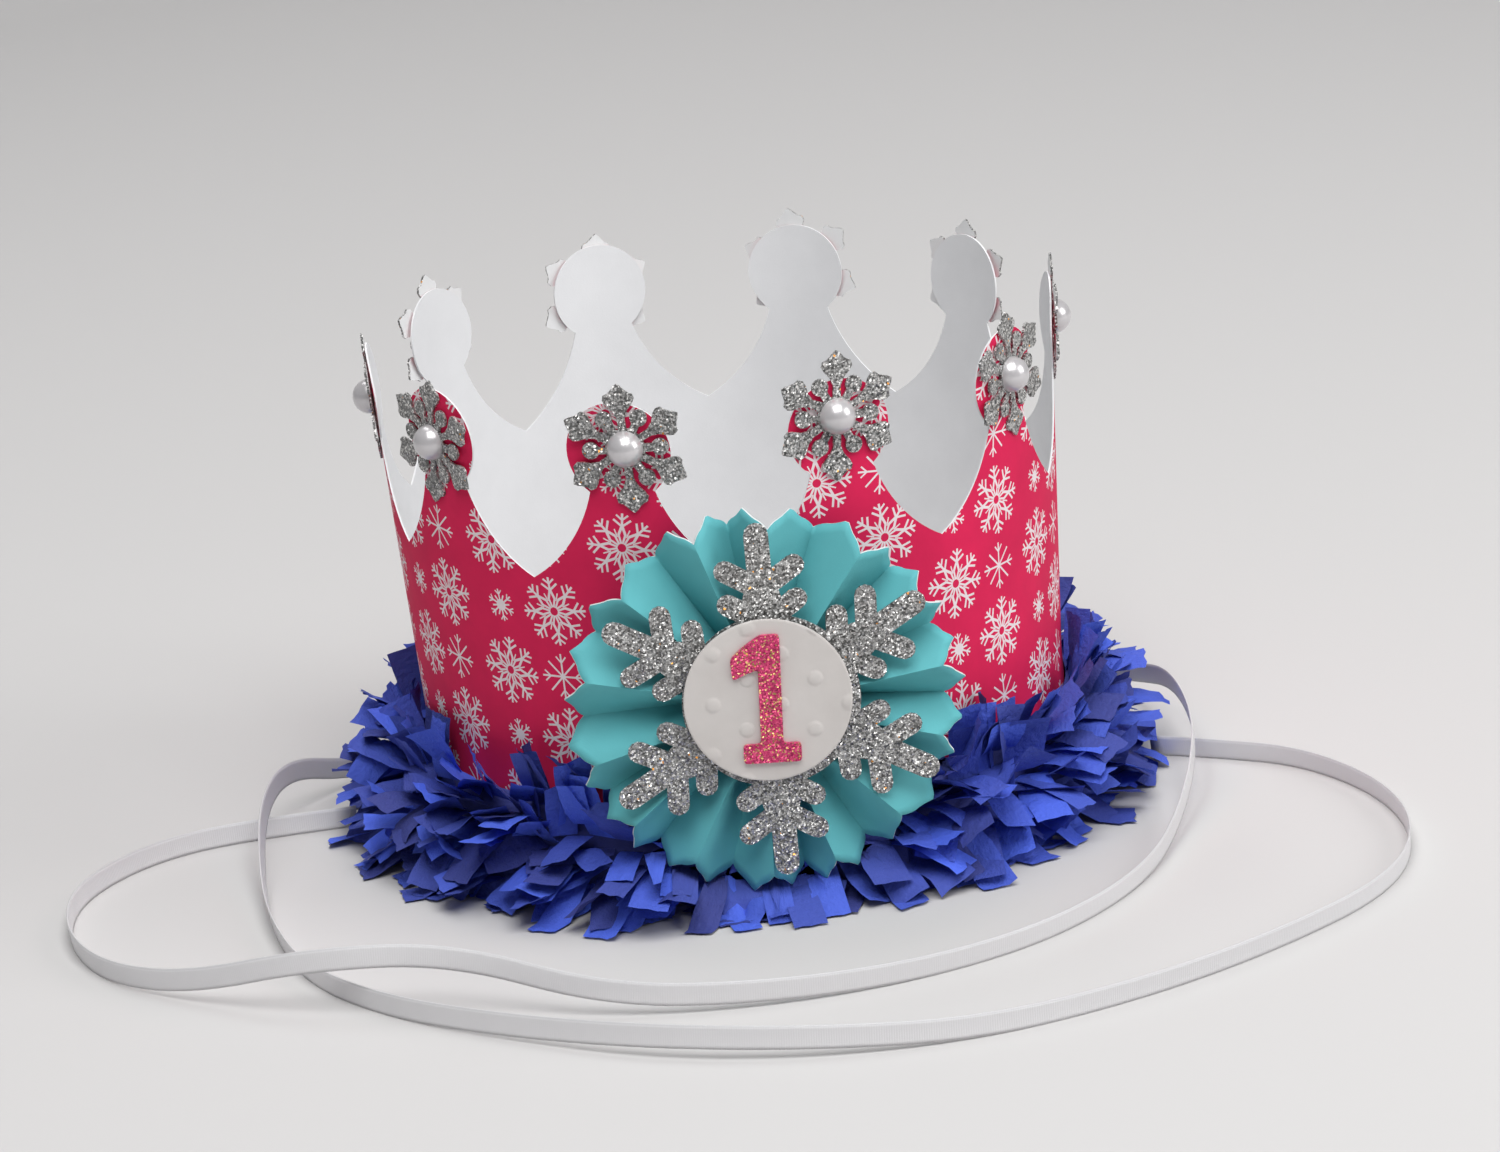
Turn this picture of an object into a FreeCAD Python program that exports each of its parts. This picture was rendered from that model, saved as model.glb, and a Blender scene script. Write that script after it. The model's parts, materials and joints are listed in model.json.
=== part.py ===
import FreeCAD, Part
import math
import os
import re
import Sketcher
from FreeCAD import Placement, Rotation, Vector

# A first-birthday crown of printed card with a cut tissue fringe round its hem, a pleated rosette
# with a glitter snowflake and a numeral badge on its front, a glitter flake and a half pearl on
# each point, and two narrow satin ribbons to tie it on.
# Millimetres. The origin is on the crown's axis at the plane it stands on, +Z up, the rosette
# faces -Y. Angles round the crown are counted from the front towards +X.

doc = FreeCAD.newDocument("BirthdayCrown")
sheet = doc.addObject("Spreadsheet::Sheet", "Sizes")

SIZES = [
    ("hemRadius", 73.5, "outer radius of the straight hem, a 460 mm head round"),
    ("hemHeight", 30, "height of the straight hem, held by the fringe"),
    ("flareAngle", 2.8, "degrees that the card leans out above the hem"),
    ("cardThickness", 0.4, "printed card"),
    ("lobeCount", 10, "points round the crown"),
    ("cardFlats", 50, "flats that the leaning card is drawn in"),
    ("valleyHeight", 75, "lowest point between two lobes"),
    ("headHeight", 104.1, "centre of a lobe's round head"),
    ("headRadius", 11.3, "round head of a lobe"),
    ("neckAngle", 51, "degrees below level where the head meets the neck"),
    ("waistHalf", 12.1, "half width of a lobe halfway down its shoulders"),
    ("waistHeight", 83.2, "height of that place"),
    ("glueGap", 0.1, "film of glue between curved layers"),
    ("fringeBottom", 6.5, "lower edge of the fringe's glued strip"),
    ("fringeTop", 30, "upper edge of the fringe's glued strip"),
    ("tabLength", 20.5, "cut tissue tab"),
    ("fringeThickness", 1.6, "folded tissue strip that carries the tabs"),
    ("tabWidth", 9.5, "cut tissue tab"),
    ("tabThickness", 0.5, "two or three sheets of tissue together"),
    ("tabsRound", 30, "tabs in one row round the crown"),
    ("rosetteAcross", 2.05, "rosette centre, towards +X"),
    ("rosetteHeight", 48, "rosette centre above the table"),
    ("petalRadius", 42.5, "rosette centre to petal tips"),
    ("foldRadius", 39.2, "rosette centre to the dips at the folds"),
    ("rosettePanels", 28, "flat panels, one petal each"),
    ("pleatHub", 9, "depth of the pleats at the centre"),
    ("pleatRim", 7, "depth of the pleats at the edge"),
    ("rosetteHole", 3, "radius where the pleats close up"),
    ("rosetteCard", 0.4, "thickness of the rosette's card"),
    ("backingRadius", 14, "card disc behind the rosette"),
    ("flakeAcross", 3.4, "large snowflake centre, towards +X"),
    ("flakeHeight", 49.2, "large snowflake centre above the table"),
    ("flakeReach", 39.7, "large snowflake centre to arm tips"),
    ("flakeRing", 19.2, "disc in the middle of the large snowflake"),
    ("armHalf", 2.6, "half width of an arm and of its round end"),
    ("armCoreHalf", 4.4, "half width of an arm below its upper branches"),
    ("armCoreReach", 26.5, "centre to the top of that wider part"),
    ("branchHalf", 2.3, "half width of a side branch"),
    ("branchAngle", 57, "degrees between arm and side branch"),
    ("branchLength", 8.8, "side branch, from arm axis to end centre"),
    ("upperBranch", 24.9, "centre to the upper branches' root"),
    ("lowerBranch", 17.4, "centre to the lower branches' root"),
    ("glitterThickness", 0.5, "card with a coat of glitter"),
    ("badgeAcross", 2.6, "badge centre, towards +X"),
    ("badgeHeight", 50, "badge centre above the table"),
    ("badgeRadius", 18.1, "embossed pearl card disc"),
    ("badgeThickness", 0.5, "embossed pearl card"),
    ("foamRadius", 14.5, "foam pad under the badge"),
    ("foamThickness", 1.5, "foam pad under the badge"),
    ("numeralHeight", 28.6, "numeral, top to bottom"),
    ("numeralStem", 4.8, "width of the numeral's stem"),
    ("numeralFoot", 12.4, "width of the numeral's foot"),
    ("footThickness", 4.2, "height of the numeral's foot"),
    ("numeralThickness", 0.8, "glitter foam sheet"),
    ("numeralTurn", -2.9, "degrees that the numeral leans"),
    ("longArm", 14.8, "small flake centre to its long tips"),
    ("kiteHalf", 3.5, "half width of a long arm's kite end"),
    ("shortArm", 9.6, "small flake centre to its short tips"),
    ("budHalf", 1.8, "half width of a short arm"),
    ("stemHalf", 0.8, "half width of a long arm's stem"),
    ("pearlRadius", 4, "half pearl"),
    ("ribbonWidth", 5, "satin ribbon, standing on its edge"),
    ("ribbonThickness", 0.4, "satin ribbon"),
]
for row, (name, size, note) in enumerate(SIZES, 1):
    sheet.set(f"A{row}", name)
    sheet.set(f"B{row}", str(size))
    sheet.setAlias(f"B{row}", name)
    sheet.set(f"C{row}", note)
doc.recompute()

sizeNames = sorted((name for name, size, note in SIZES), key=len, reverse=True)
sizeWord = re.compile(r"\b(" + "|".join(sizeNames) + r")\b")


def bound(expression):
    """The expression with each size word pointing at its cell."""
    return sizeWord.sub(r"Sizes.\1", expression)


def number(expression):
    """What an expression of the sizes is worth now."""
    return float(sheet.evalExpression(bound(expression)))


# The card's outer radius at a height above the hem
CONE = "(hemRadius + (%s - hemHeight) * tan(flareAngle * 1 deg))"


# Bodies, sketches and outlines

def newBody(label):
    body = doc.addObject("PartDesign::Body", label)
    body.Label = label
    return body


def origin(body, role):
    return next(f for f in body.Origin.OriginFeatures if f.Role == role)


def newSketch(body, name, role="XY_Plane"):
    sketch = body.newObject("Sketcher::SketchObject", name)
    sketch.AttachmentSupport = (origin(body, role), [""])
    sketch.MapMode = "FlatFace"
    return sketch


def pin(sketch, kind, edge, place, expression):
    """Ties one coordinate of a point to an expression of the sizes."""
    at = sketch.addConstraint(Sketcher.Constraint(kind, -1, 1, edge, place, number(expression)))
    sketch.setExpression(f"Constraints[{at}]", bound(expression))


def outline(sketch, corners):
    """A closed outline. Each corner is (x, y) or (x, y, radius): the radius rounds the edge that
    leaves the corner, with its centre on the left of the way round, or on the right if negative."""
    corners = [corner if len(corner) == 3 else (*corner, None) for corner in corners]
    points = [Vector(number(x), number(y), 0) for x, y, radius in corners]
    edges = []
    for i, (x, y, radius) in enumerate(corners):
        start, end = points[i], points[(i + 1) % len(points)]
        if radius is None:
            edges.append((sketch.addGeometry(Part.LineSegment(start, end)), 1, 2))
            continue
        bend = number(radius)
        chord = end - start
        left = Vector(-chord.y, chord.x, 0).normalize()
        rise = math.sqrt(max(bend * bend - chord.Length ** 2 / 4, 0))
        middle = (start + end) * 0.5 + left * math.copysign(rise, bend)
        circle = Part.Circle(middle, Vector(0, 0, 1), abs(bend))
        angles = [math.atan2(p.y - middle.y, p.x - middle.x) for p in (start, end)]
        if bend < 0:
            angles.reverse()
        arc = sketch.addGeometry(Part.ArcOfCircle(circle, *angles))
        edges.append((arc, 1, 2) if bend > 0 else (arc, 2, 1))
        at = sketch.addConstraint(Sketcher.Constraint("Radius", arc, abs(bend)))
        sketch.setExpression(f"Constraints[{at}]", bound(radius.lstrip("-")))
    for i, (edge, first, last) in enumerate(edges):
        following, place, unused = edges[(i + 1) % len(edges)]
        sketch.addConstraint(Sketcher.Constraint("Coincident", edge, last, following, place))
        pin(sketch, "DistanceX", edge, first, corners[i][0])
        pin(sketch, "DistanceY", edge, first, corners[i][1])


def circle(sketch, radius):
    ring = sketch.addGeometry(Part.Circle(Vector(0, 0, 0), Vector(0, 0, 1), number(radius)))
    sketch.addConstraint(Sketcher.Constraint("Coincident", ring, 3, -1, 1))
    at = sketch.addConstraint(Sketcher.Constraint("Radius", ring, number(radius)))
    sketch.setExpression(f"Constraints[{at}]", bound(radius))


def pad(body, sketch, thickness):
    feature = body.newObject("PartDesign::Pad", sketch.Name + "Pad")
    feature.Profile = sketch
    feature.setExpression("Length", bound(thickness))
    sketch.Visibility = False
    return feature


def around(body, features, role, copies):
    """Repeats features round an axis of the body."""
    pattern = body.newObject("PartDesign::PolarPattern", "Round_" + body.Label)
    pattern.Originals = features
    pattern.Axis = (origin(body, role), [""])
    pattern.Angle = 360
    pattern.setExpression("Occurrences", bound(copies))
    body.Tip = pattern
    return pattern


# Places on the crown

def onCard(angle, height, turn=0, lift=0.0):
    """A place on the outside of the card, facing out and leaning with it. Local Z points out and
    local Y up. The turn is about the outward way, and the lift stands off the card."""
    flare = number("flareAngle")
    facing = Rotation(Vector(0, 0, 1), angle) * Rotation(Vector(1, 0, 0), 90 + flare)
    out = facing.multVec(Vector(0, 0, 1))
    radius = number(CONE % height)
    way = math.radians(angle)
    at = Vector(radius * math.sin(way), -radius * math.cos(way), height)
    return Placement(at + out * lift, facing * Rotation(Vector(0, 0, 1), turn))


def onFront(across, height, depth, turn=0):
    """A place that faces straight forwards, depth in front of the crown's axis."""
    facing = Rotation(Vector(1, 0, 0), 90) * Rotation(Vector(0, 0, 1), turn)
    return Placement(Vector(across, -depth, height), facing)


def prism(label, radius, height, sides, place=Placement()):
    block = doc.addObject("Part::Prism", label)
    block.Label = label
    block.setExpression("Circumradius", bound(radius))
    block.setExpression("Height", bound(height))
    block.setExpression("Polygon", bound(sides))
    block.Placement = place
    return block


def cutFrom(label, block, hole):
    cut = doc.addObject("Part::Cut", label)
    cut.Label = label
    cut.Base = block
    cut.Tool = hole
    return cut


# The card band: a straight hem, a flare above it, and ten round-headed lobes

def crownBand():
    topEdge = "(headHeight + headRadius + 2)"

    def hemRound(label, radius):
        round = doc.addObject("Part::Cylinder", label)
        round.setExpression("Radius", bound(radius))
        round.setExpression("Height", bound("hemHeight"))
        return round

    def leaningRound(label, inset):
        """A many-sided block from the hem's top to above the lobes, as wide as the card there."""
        rings = []
        for end, height in (("Low", "hemHeight"), ("High", topEdge)):
            ring = doc.addObject("Part::RegularPolygon", label + end)
            ring.setExpression("Polygon", bound("cardFlats"))
            ring.setExpression("Circumradius", bound(CONE % height + " - " + inset))
            ring.Placement.Base.z = number(height)
            rings.append(ring)
        block = doc.addObject("Part::Loft", label)
        block.Sections = rings
        block.Solid = True
        block.Ruled = True
        return block

    hem = cutFrom("Hem", hemRound("HemOutside", "hemRadius"),
                  hemRound("HemInside", "hemRadius - cardThickness"))
    wall = cutFrom("LeaningWall", leaningRound("WallOutside", "0"),
                   leaningRound("WallInside", "cardThickness"))

    # one valley is drawn on the plane that it faces, so places on the lobes beside it are
    # brought to that plane: across = radius * sin(angle from the valley)
    def across(height, arc):
        radius = CONE % height
        return "(%s * sin(180 deg / lobeCount - (%s) / %s * 1 rad))" % (radius, arc, radius)

    headTop = "(headHeight + headRadius)"
    above = "(headHeight + headRadius + 4)"
    # the round head in short chords, from its neck to its top
    chords = 6
    turns = ["((90 + neckAngle) * %d / %d - neckAngle) * 1 deg" % (k, chords) for k in range(chords)]
    rise = ["(headHeight + headRadius * sin(%s))" % turn for turn in turns]
    right = [(across("waistHeight", "waistHalf"), "waistHeight")]
    right += [(across(z, "headRadius * cos(%s)" % turn), z) for z, turn in zip(rise, turns)]
    right += [(across(headTop, "0"), headTop), (across(headTop, "-1"), headTop),
              (across(headTop, "-1"), above)]
    left = [("-" + x, y) for x, y in reversed(right)]
    body = newBody("Valleys")
    valley = newSketch(body, "ValleyCut", "XZ_Plane")
    outline(valley, [("0", "valleyHeight"), *right, *left])
    # the sketch faces the front, so the cutter is as long as the widest half of the crown
    around(body, [pad(body, valley, "hemRadius * 1.5")], "Z_Axis", "lobeCount")
    band = doc.addObject("Part::MultiFuse", "crown_band")
    band.Label = "crown_band"
    band.Shapes = [hem, cutFrom("Lobes", wall, body)]


# The tissue fringe: a glued strip round the hem, and rows of cut tabs that fan out from it.
# Each row is (share of the strip's height, degrees above level, share of the tab's length).
FRINGE_ROWS = [(0.13, -28, 0.93), (0.36, -5, 1.0), (0.62, 20, 1.02), (0.87, 48, 0.85)]
# the lowest row is level at the back and the sides, where the ribbons run under it
LEVEL_TILT = -4
LEVEL_FROM = 78


def tab(name, angle, height, rise, length, roll=0.0):
    """One tab of tissue, rooted in the glued strip."""
    sheetTab = doc.addObject("Part::Box", name)
    sheetTab.setExpression("Length", bound("tabWidth"))
    sheetTab.setExpression("Height", bound("tabThickness"))
    sheetTab.setExpression("Width", bound("tabLength * %.4f" % length))
    facing = (Rotation(Vector(0, 0, 1), angle + 180) * Rotation(Vector(1, 0, 0), rise)
              * Rotation(Vector(0, 1, 0), roll))
    way = math.radians(angle)
    root = number("hemRadius + glueGap + fringeThickness / 2")
    at = Vector(root * math.sin(way), -root * math.cos(way), height)
    middle = facing.multVec(Vector(number("tabWidth") / 2, 0, number("tabThickness") / 2))
    sheetTab.Placement = Placement(at - middle, facing)
    return sheetTab


def tissueFringe():
    # the glued strip is folded in flats, one for each tab round the crown
    tall = "fringeTop - fringeBottom"
    level = Placement(Vector(0, 0, number("fringeBottom")), Rotation())
    outside = "(hemRadius + glueGap + fringeThickness) / cos(180 deg / tabsRound)"
    strip = cutFrom("FringeStrip", prism("StripOutside", outside, tall, "tabsRound", level),
                    prism("StripInside", "(hemRadius + glueGap) / cos(180 deg / tabsRound)", tall,
                          "tabsRound", level))

    pieces = [strip]
    count = round(number("tabsRound"))
    pitch = 360 / count
    reached = number("hemRadius + tabLength * 0.5")
    for row, (share, rise, long) in enumerate(FRINGE_ROWS):
        height = number("fringeBottom + (%s) * %s" % (tall, share))
        # the rosette hides the fringe in front, as wide as it is at this row's height
        low = number("rosetteHeight") - height - 1
        hidden = math.sqrt(max(number("petalRadius") ** 2 - low ** 2, 0))
        clear = math.degrees(math.asin(min(hidden / reached, 1))) + 6
        for k in range(count):
            angle = (k + 0.5 * (row % 2)) * pitch + 2.2 * math.sin(2.3 * k + row)
            front = (angle + 180) % 360 - 180
            if abs(front - 1.5) < clear:
                continue
            tilt = rise + 4 * math.sin(1.9 * k + 2 * row)
            if row == 0:
                tilt = LEVEL_TILT if abs(front) > LEVEL_FROM else rise
            reach = long * (1 + 0.06 * math.sin(3.1 * k + row))
            pieces.append(tab(f"Tab{row}_{k}", angle, height, tilt, reach, 5 * math.sin(2.7 * k)))
    doc.recompute()
    fringe = doc.addObject("Part::MultiFuse", "tissue_fringe")
    fringe.Label = "tissue_fringe"
    fringe.Shapes = pieces
    return fringe


# The rosette: one strip of card folded like an accordion and closed into a round

def rosette(depth):
    """Flat panels between radial folds, with a pointed petal at the end of each."""
    panels = round(number("rosettePanels"))
    step = 2 * math.pi / panels
    hole, fold = number("rosetteHole"), number("foldRadius")
    tip, thick = number("petalRadius"), number("rosetteCard")
    hub, rim = number("pleatHub") - thick, number("pleatRim") - thick
    middle = number("pleatHub") / 2
    shoulder = fold + 0.62 * (tip - fold)
    # places across a panel, from fold to fold, with the radius of the card's edge there
    edge = [(0.0, fold), (0.26, shoulder), (0.56, tip), (0.8, shoulder)]

    def point(turn, share, radius, back):
        """A point of a panel, share of the way from its first fold to its second."""
        near = 1 if turn % 2 == 0 else -1
        slide = (radius - hole) / (fold - hole)
        height = (hub + (rim - hub) * slide) / 2 * near * (1 - 2 * share)
        angle = (turn + share) * step
        return Vector(radius * math.cos(angle), radius * math.sin(angle),
                      middle + height + (-thick / 2 if back else thick / 2))

    faces = []

    def triangle(a, b, c):
        faces.append(Part.Face(Part.makePolygon([a, b, c, a])))

    for turn in range(panels):
        for back in (False, True):
            rim_points = [point(turn, share, radius, back) for share, radius in edge]
            rim_points.append(point(turn, 1.0, fold, back))
            ins = point(turn, 0.0, hole, back), point(turn, 1.0, hole, back)
            triangle(ins[0], rim_points[0], rim_points[1])
            triangle(ins[0], rim_points[1], rim_points[2])
            triangle(ins[0], rim_points[2], ins[1])
            triangle(ins[1], rim_points[2], rim_points[3])
            triangle(ins[1], rim_points[3], rim_points[4])
        shares = edge + [(1.0, fold)]
        for (s0, r0), (s1, r1) in zip(shares, shares[1:]):
            front = point(turn, s0, r0, False), point(turn, s1, r1, False)
            rear = point(turn, s0, r0, True), point(turn, s1, r1, True)
            triangle(front[0], rear[0], front[1])
            triangle(front[1], rear[0], rear[1])
        front = point(turn, 0.0, hole, False), point(turn, 1.0, hole, False)
        rear = point(turn, 0.0, hole, True), point(turn, 1.0, hole, True)
        triangle(front[0], rear[0], front[1])
        triangle(front[1], rear[0], rear[1])
    solid = Part.Solid(Part.Shell(faces))
    if solid.Volume < 0:
        solid.reverse()
    pleated = doc.addObject("Part::Feature", "rosette")
    pleated.Label = "rosette"
    pleated.Shape = solid
    first = 0.8 - 180 / panels
    pleated.Placement = onFront(number("rosetteAcross"), number("rosetteHeight"), depth, first)
    return pleated


# Snowflakes

def roundArm(base, length, half, angle="0"):
    """Corners of a bar with a round end that starts at base on the Y axis and leans to +X."""
    along = "sin(%s * 1 deg)" % angle, "cos(%s * 1 deg)" % angle

    def corner(side, reach):
        return ("%s * %s * %s + (%s) * %s" % (side, half, along[1], reach, along[0]),
                "%s - %s * %s * %s + (%s) * %s" % (base, side, half, along[0], reach, along[1]))

    end = [corner(side, "%s + %s * %s" % (length, half, reach))
           for side, reach in (("1", "0"), ("0.71", "0.71"), ("0", "1"), ("-0.71", "0.71"), ("-1", "0"))]
    return [corner("1", "0"), *end, corner("-1", "0")]


def glitterSnowflake(depth):
    body = newBody("glitter_snowflake")
    middle = newSketch(body, "FlakeDisc")
    circle(middle, "flakeRing")
    pad(body, middle, "glitterThickness")
    bars = [
        ("Arm", "0", "flakeReach - armHalf", "armHalf", "0"),
        ("ArmCore", "0", "armCoreReach - armCoreHalf", "armCoreHalf", "0"),
        ("UpperRight", "upperBranch", "branchLength", "branchHalf", "branchAngle"),
        ("UpperLeft", "upperBranch", "branchLength", "branchHalf", "(-branchAngle)"),
        ("LowerRight", "lowerBranch", "branchLength", "branchHalf", "branchAngle"),
        ("LowerLeft", "lowerBranch", "branchLength", "branchHalf", "(-branchAngle)"),
    ]
    features = []
    for name, base, length, half, angle in bars:
        sketch = newSketch(body, name)
        outline(sketch, roundArm(base, length, half, angle))
        features.append(pad(body, sketch, "glitterThickness"))
    around(body, features, "Z_Axis", "6")
    body.Placement = onFront(number("flakeAcross"), number("flakeHeight"), depth)
    return body


# How far each small flake was glued from the middle of its lobe's head: along, up, and turned
FLAKE_SETTLING = [
    (-0.6, 3.3, 4), (1.2, 0.6, -6), (-0.8, 1.4, 5), (0.6, 0.4, -3), (-0.9, 0.9, 8),
    (0.7, -0.5, -7), (0.4, 0.8, 3), (0.8, -0.6, -4), (-1.6, -1.0, 9), (2.0, 1.1, -2),
]


def glitterFlake(index, angle, settled):
    body = newBody("glitter_flake_%02d" % index)
    kite = newSketch(body, "FlakeKite%02d" % index)
    outline(kite, [
        ("stemHalf", "0"), ("stemHalf", "longArm * 0.55"), ("kiteHalf", "longArm * 0.79"), ("0", "longArm"),
        ("-kiteHalf", "longArm * 0.79"), ("-stemHalf", "longArm * 0.55"), ("-stemHalf", "0"),
    ])
    bud = newSketch(body, "FlakeBud%02d" % index)
    # the bud points to the gap between two kites
    lean = "cos(30 deg)", "sin(30 deg)"

    def turned(x, y):
        return ("(%s) * %s + (%s) * %s" % (x, lean[0], y, lean[1]),
                "(%s) * %s - (%s) * %s" % (y, lean[0], x, lean[1]))

    outline(bud, [turned(x, y) for x, y in [
        ("budHalf", "0"), ("budHalf", "shortArm - budHalf"), ("0", "shortArm"),
        ("-budHalf", "shortArm - budHalf"), ("-budHalf", "0"),
    ]])
    arms = [pad(body, kite, "glitterThickness"), pad(body, bud, "glitterThickness")]
    around(body, arms, "Z_Axis", "6")
    body.Placement = settled(angle, number("glueGap"))
    return body


def halfPearl(label, place):
    """A dome in twelve sides, each ring (share of the radius, share of the rise)."""
    radius, sides = number("pearlRadius"), 12
    rings = []
    for wide, high in [(1, 0), (0.87, 0.5), (0.5, 0.87), (0.17, 1)]:
        turns = [2 * math.pi * k / sides for k in range(sides)]
        rings.append([Vector(math.cos(turn) * wide, math.sin(turn) * wide, high) * radius for turn in turns])
    faces = [Part.Face(Part.makePolygon(ring + ring[:1])) for ring in (rings[0], rings[-1])]
    for low, high in zip(rings, rings[1:]):
        for k in range(sides):
            on = (k + 1) % sides
            faces.append(Part.Face(Part.makePolygon([low[k], low[on], high[on], high[k], low[k]])))
    shell = Part.Solid(Part.Shell(faces))
    if shell.Volume < 0:
        shell.reverse()
    dome = doc.addObject("Part::Feature", label)
    dome.Shape = shell
    dome.Placement = place
    return dome


def lobeFlakes():
    """A flake on each lobe, and a half pearl in the middle of each flake."""
    lobes = round(number("lobeCount"))
    domes = []
    for k in range(lobes):
        along, up, turn = FLAKE_SETTLING[k % len(FLAKE_SETTLING)]
        height = number("headHeight") + up
        angle = (k + 0.5) * 360 / lobes + math.degrees(along / number(CONE % height))

        def settled(at, lift, height=height, turn=turn):
            return onCard(at, height, turn, lift)

        glitterFlake(k + 1, angle, settled)
        domes.append(halfPearl("Dome%02d" % (k + 1), settled(angle, number("glueGap + glitterThickness"))))
    pearls = doc.addObject("Part::Compound", "half_pearls")
    pearls.Label = "half_pearls"
    pearls.Links = domes


# The numeral

def numeral(depth):
    body = newBody("numeral_one")
    shape = newSketch(body, "NumeralOutline")
    half = "numeralStem / 2"
    foot = "numeralFoot / 2"
    outline(shape, [
        ("-" + foot, "-numeralHeight / 2"),
        (foot + " + 0.2", "-numeralHeight / 2"),
        (foot + " + 0.2", "footThickness - numeralHeight / 2"),
        (half, "footThickness - numeralHeight / 2"),
        (half, "numeralHeight / 2"),
        ("-" + half + " + 0.6", "numeralHeight / 2"),
        ("-" + half + " - numeralFoot * 0.47", "numeralHeight * 0.32"),
        ("-" + half + " - numeralFoot * 0.44", "numeralHeight * 0.157"),
        ("-" + half, "numeralHeight * 0.235"),
        ("-" + half, "footThickness - numeralHeight / 2"),
        ("-" + foot, "footThickness - numeralHeight / 2"),
    ])
    pad(body, shape, "numeralThickness")
    body.Placement = onFront(number("badgeAcross") + 0.5, number("badgeHeight") + 0.5, depth,
                             number("numeralTurn"))
    return body


# The ribbons. Each is a list of points of its middle line, and stands on its edge on the table.
# It starts glued to the back of the hem under the fringe, runs round in front of the crown, and
# its free end lies against the fringe on the other side.
RIBBON_LEFT = [
    (-36.9, 63.95, 0), (-57, 53.5, 0), (-77, 43.5, 0), (-95, 34, 1.5), (-108, 15, 10), (-113, -12, 10),
    (-113, -39, 1.5), (-110, -65, 0), (-102, -96, 0), (-84, -120.5, 0), (-58, -141, 0.8), (-29, -159.5, 2.4),
    (3, -168.5, 2), (37, -168, 0), (72, -155.5, 0), (103, -136, 0), (130, -111.5, 0), (140.5, -83, 0),
    (138.5, -53, 0), (125, -25.5, 0), (106, -13, 0), (92, -6, 0),
]
RIBBON_RIGHT = [
    (19.1, 71.3, 0), (42, 68, 0), (63, 65, 0), (81, 55, 1), (94, 37, 4), (100.5, 12, 10), (100.5, -30, 10),
    (92, -60, 1.5), (80, -91, 0), (57, -117.5, 0), (27, -132.5, 0), (-6, -138, 1), (-38, -134, 2.5),
    (-70, -118.5, 10), (-100, -114, 10), (-127, -99, 2), (-146, -82, 0), (-156, -58, 0), (-156, -30, 0),
    (-142, -8, 0), (-121, 2.5, 0), (-99, 3, 0),
]


def roundedPath(points):
    """Straight runs joined by tangent arcs as large as their two runs allow, and their radii."""
    edges, radii = [], []
    start = points[0]
    for before, corner, after in zip(points, points[1:], points[2:]):
        back, on = before - corner, after - corner
        turn = math.pi - back.getAngle(on)
        reach = 0.45 * min(back.Length, on.Length)
        radii.append(reach / math.tan(turn / 2))
        back.normalize()
        on.normalize()
        first, last = corner + back * reach, corner + on * reach
        bisector = (back + on).normalize()
        middle = corner + bisector * (math.hypot(reach, radii[-1]) - radii[-1])
        edges += [Part.LineSegment(start, first).toShape(), Part.Arc(first, middle, last).toShape()]
        start = last
    edges.append(Part.LineSegment(start, points[-1]).toShape())
    return Part.Wire(edges), radii


def ribbon(label, route):
    width, thick = number("ribbonWidth"), number("ribbonThickness")
    points = [Vector(x, y, lift + width / 2) for x, y, lift in route]
    path, radii = roundedPath(points)
    ahead = (points[1] - points[0]).normalize()
    across = ahead.cross(Vector(0, 0, 1)).normalize() * (thick / 2)
    rise = Vector(0, 0, width / 2)
    ends = [points[0] + across + rise, points[0] - across + rise,
            points[0] - across - rise, points[0] + across - rise]
    sweep = Part.BRepOffsetAPI.MakePipeShell(path)
    sweep.setBiNormalMode(Vector(0, 0, 1))
    sweep.add(Part.makePolygon(ends + ends[:1]))
    sweep.build()
    sweep.makeSolid()
    strip = doc.addObject("Part::Feature", label)
    strip.Label = label
    strip.Shape = sweep.shape()
    print(f"{label}: length {path.Length:.1f}, tightest radius {min(radii):.1f},",
          f"volume {strip.Shape.Volume:.1f} against {width * thick * path.Length:.1f}")
    return strip


# Everything in its place, front layers stacked from the card outwards
crownBand()
tissueFringe()
backingFace = number(CONE % "(rosetteHeight + backingRadius)" + " + glueGap")
hubBack = backingFace + number("rosetteCard")
hubFront = hubBack + number("pleatHub")
flakeFront = hubFront + number("glitterThickness")
foamFront = flakeFront + number("foamThickness")
badgeFront = foamFront + number("badgeThickness")
rosetteAt = number("rosetteAcross"), number("rosetteHeight")
badgeAt = number("badgeAcross"), number("badgeHeight")
prism("rosette_backing", "backingRadius", "rosetteCard", "24", onFront(*rosetteAt, backingFace))
rosette(hubBack)
glitterSnowflake(hubFront)
prism("badge_foam_pad", "foamRadius", "foamThickness", "24", onFront(*badgeAt, flakeFront))
prism("badge_disc", "badgeRadius", "badgeThickness", "60", onFront(*badgeAt, foamFront))
numeral(badgeFront)
lobeFlakes()
ribbon("ribbon_left", RIBBON_LEFT)
ribbon("ribbon_right", RIBBON_RIGHT)
doc.recompute()

for thing in doc.Objects:
    if "Invalid" in thing.State or "Error" in thing.State:
        raise RuntimeError(f"{thing.Name} failed: {thing.State}")

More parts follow.
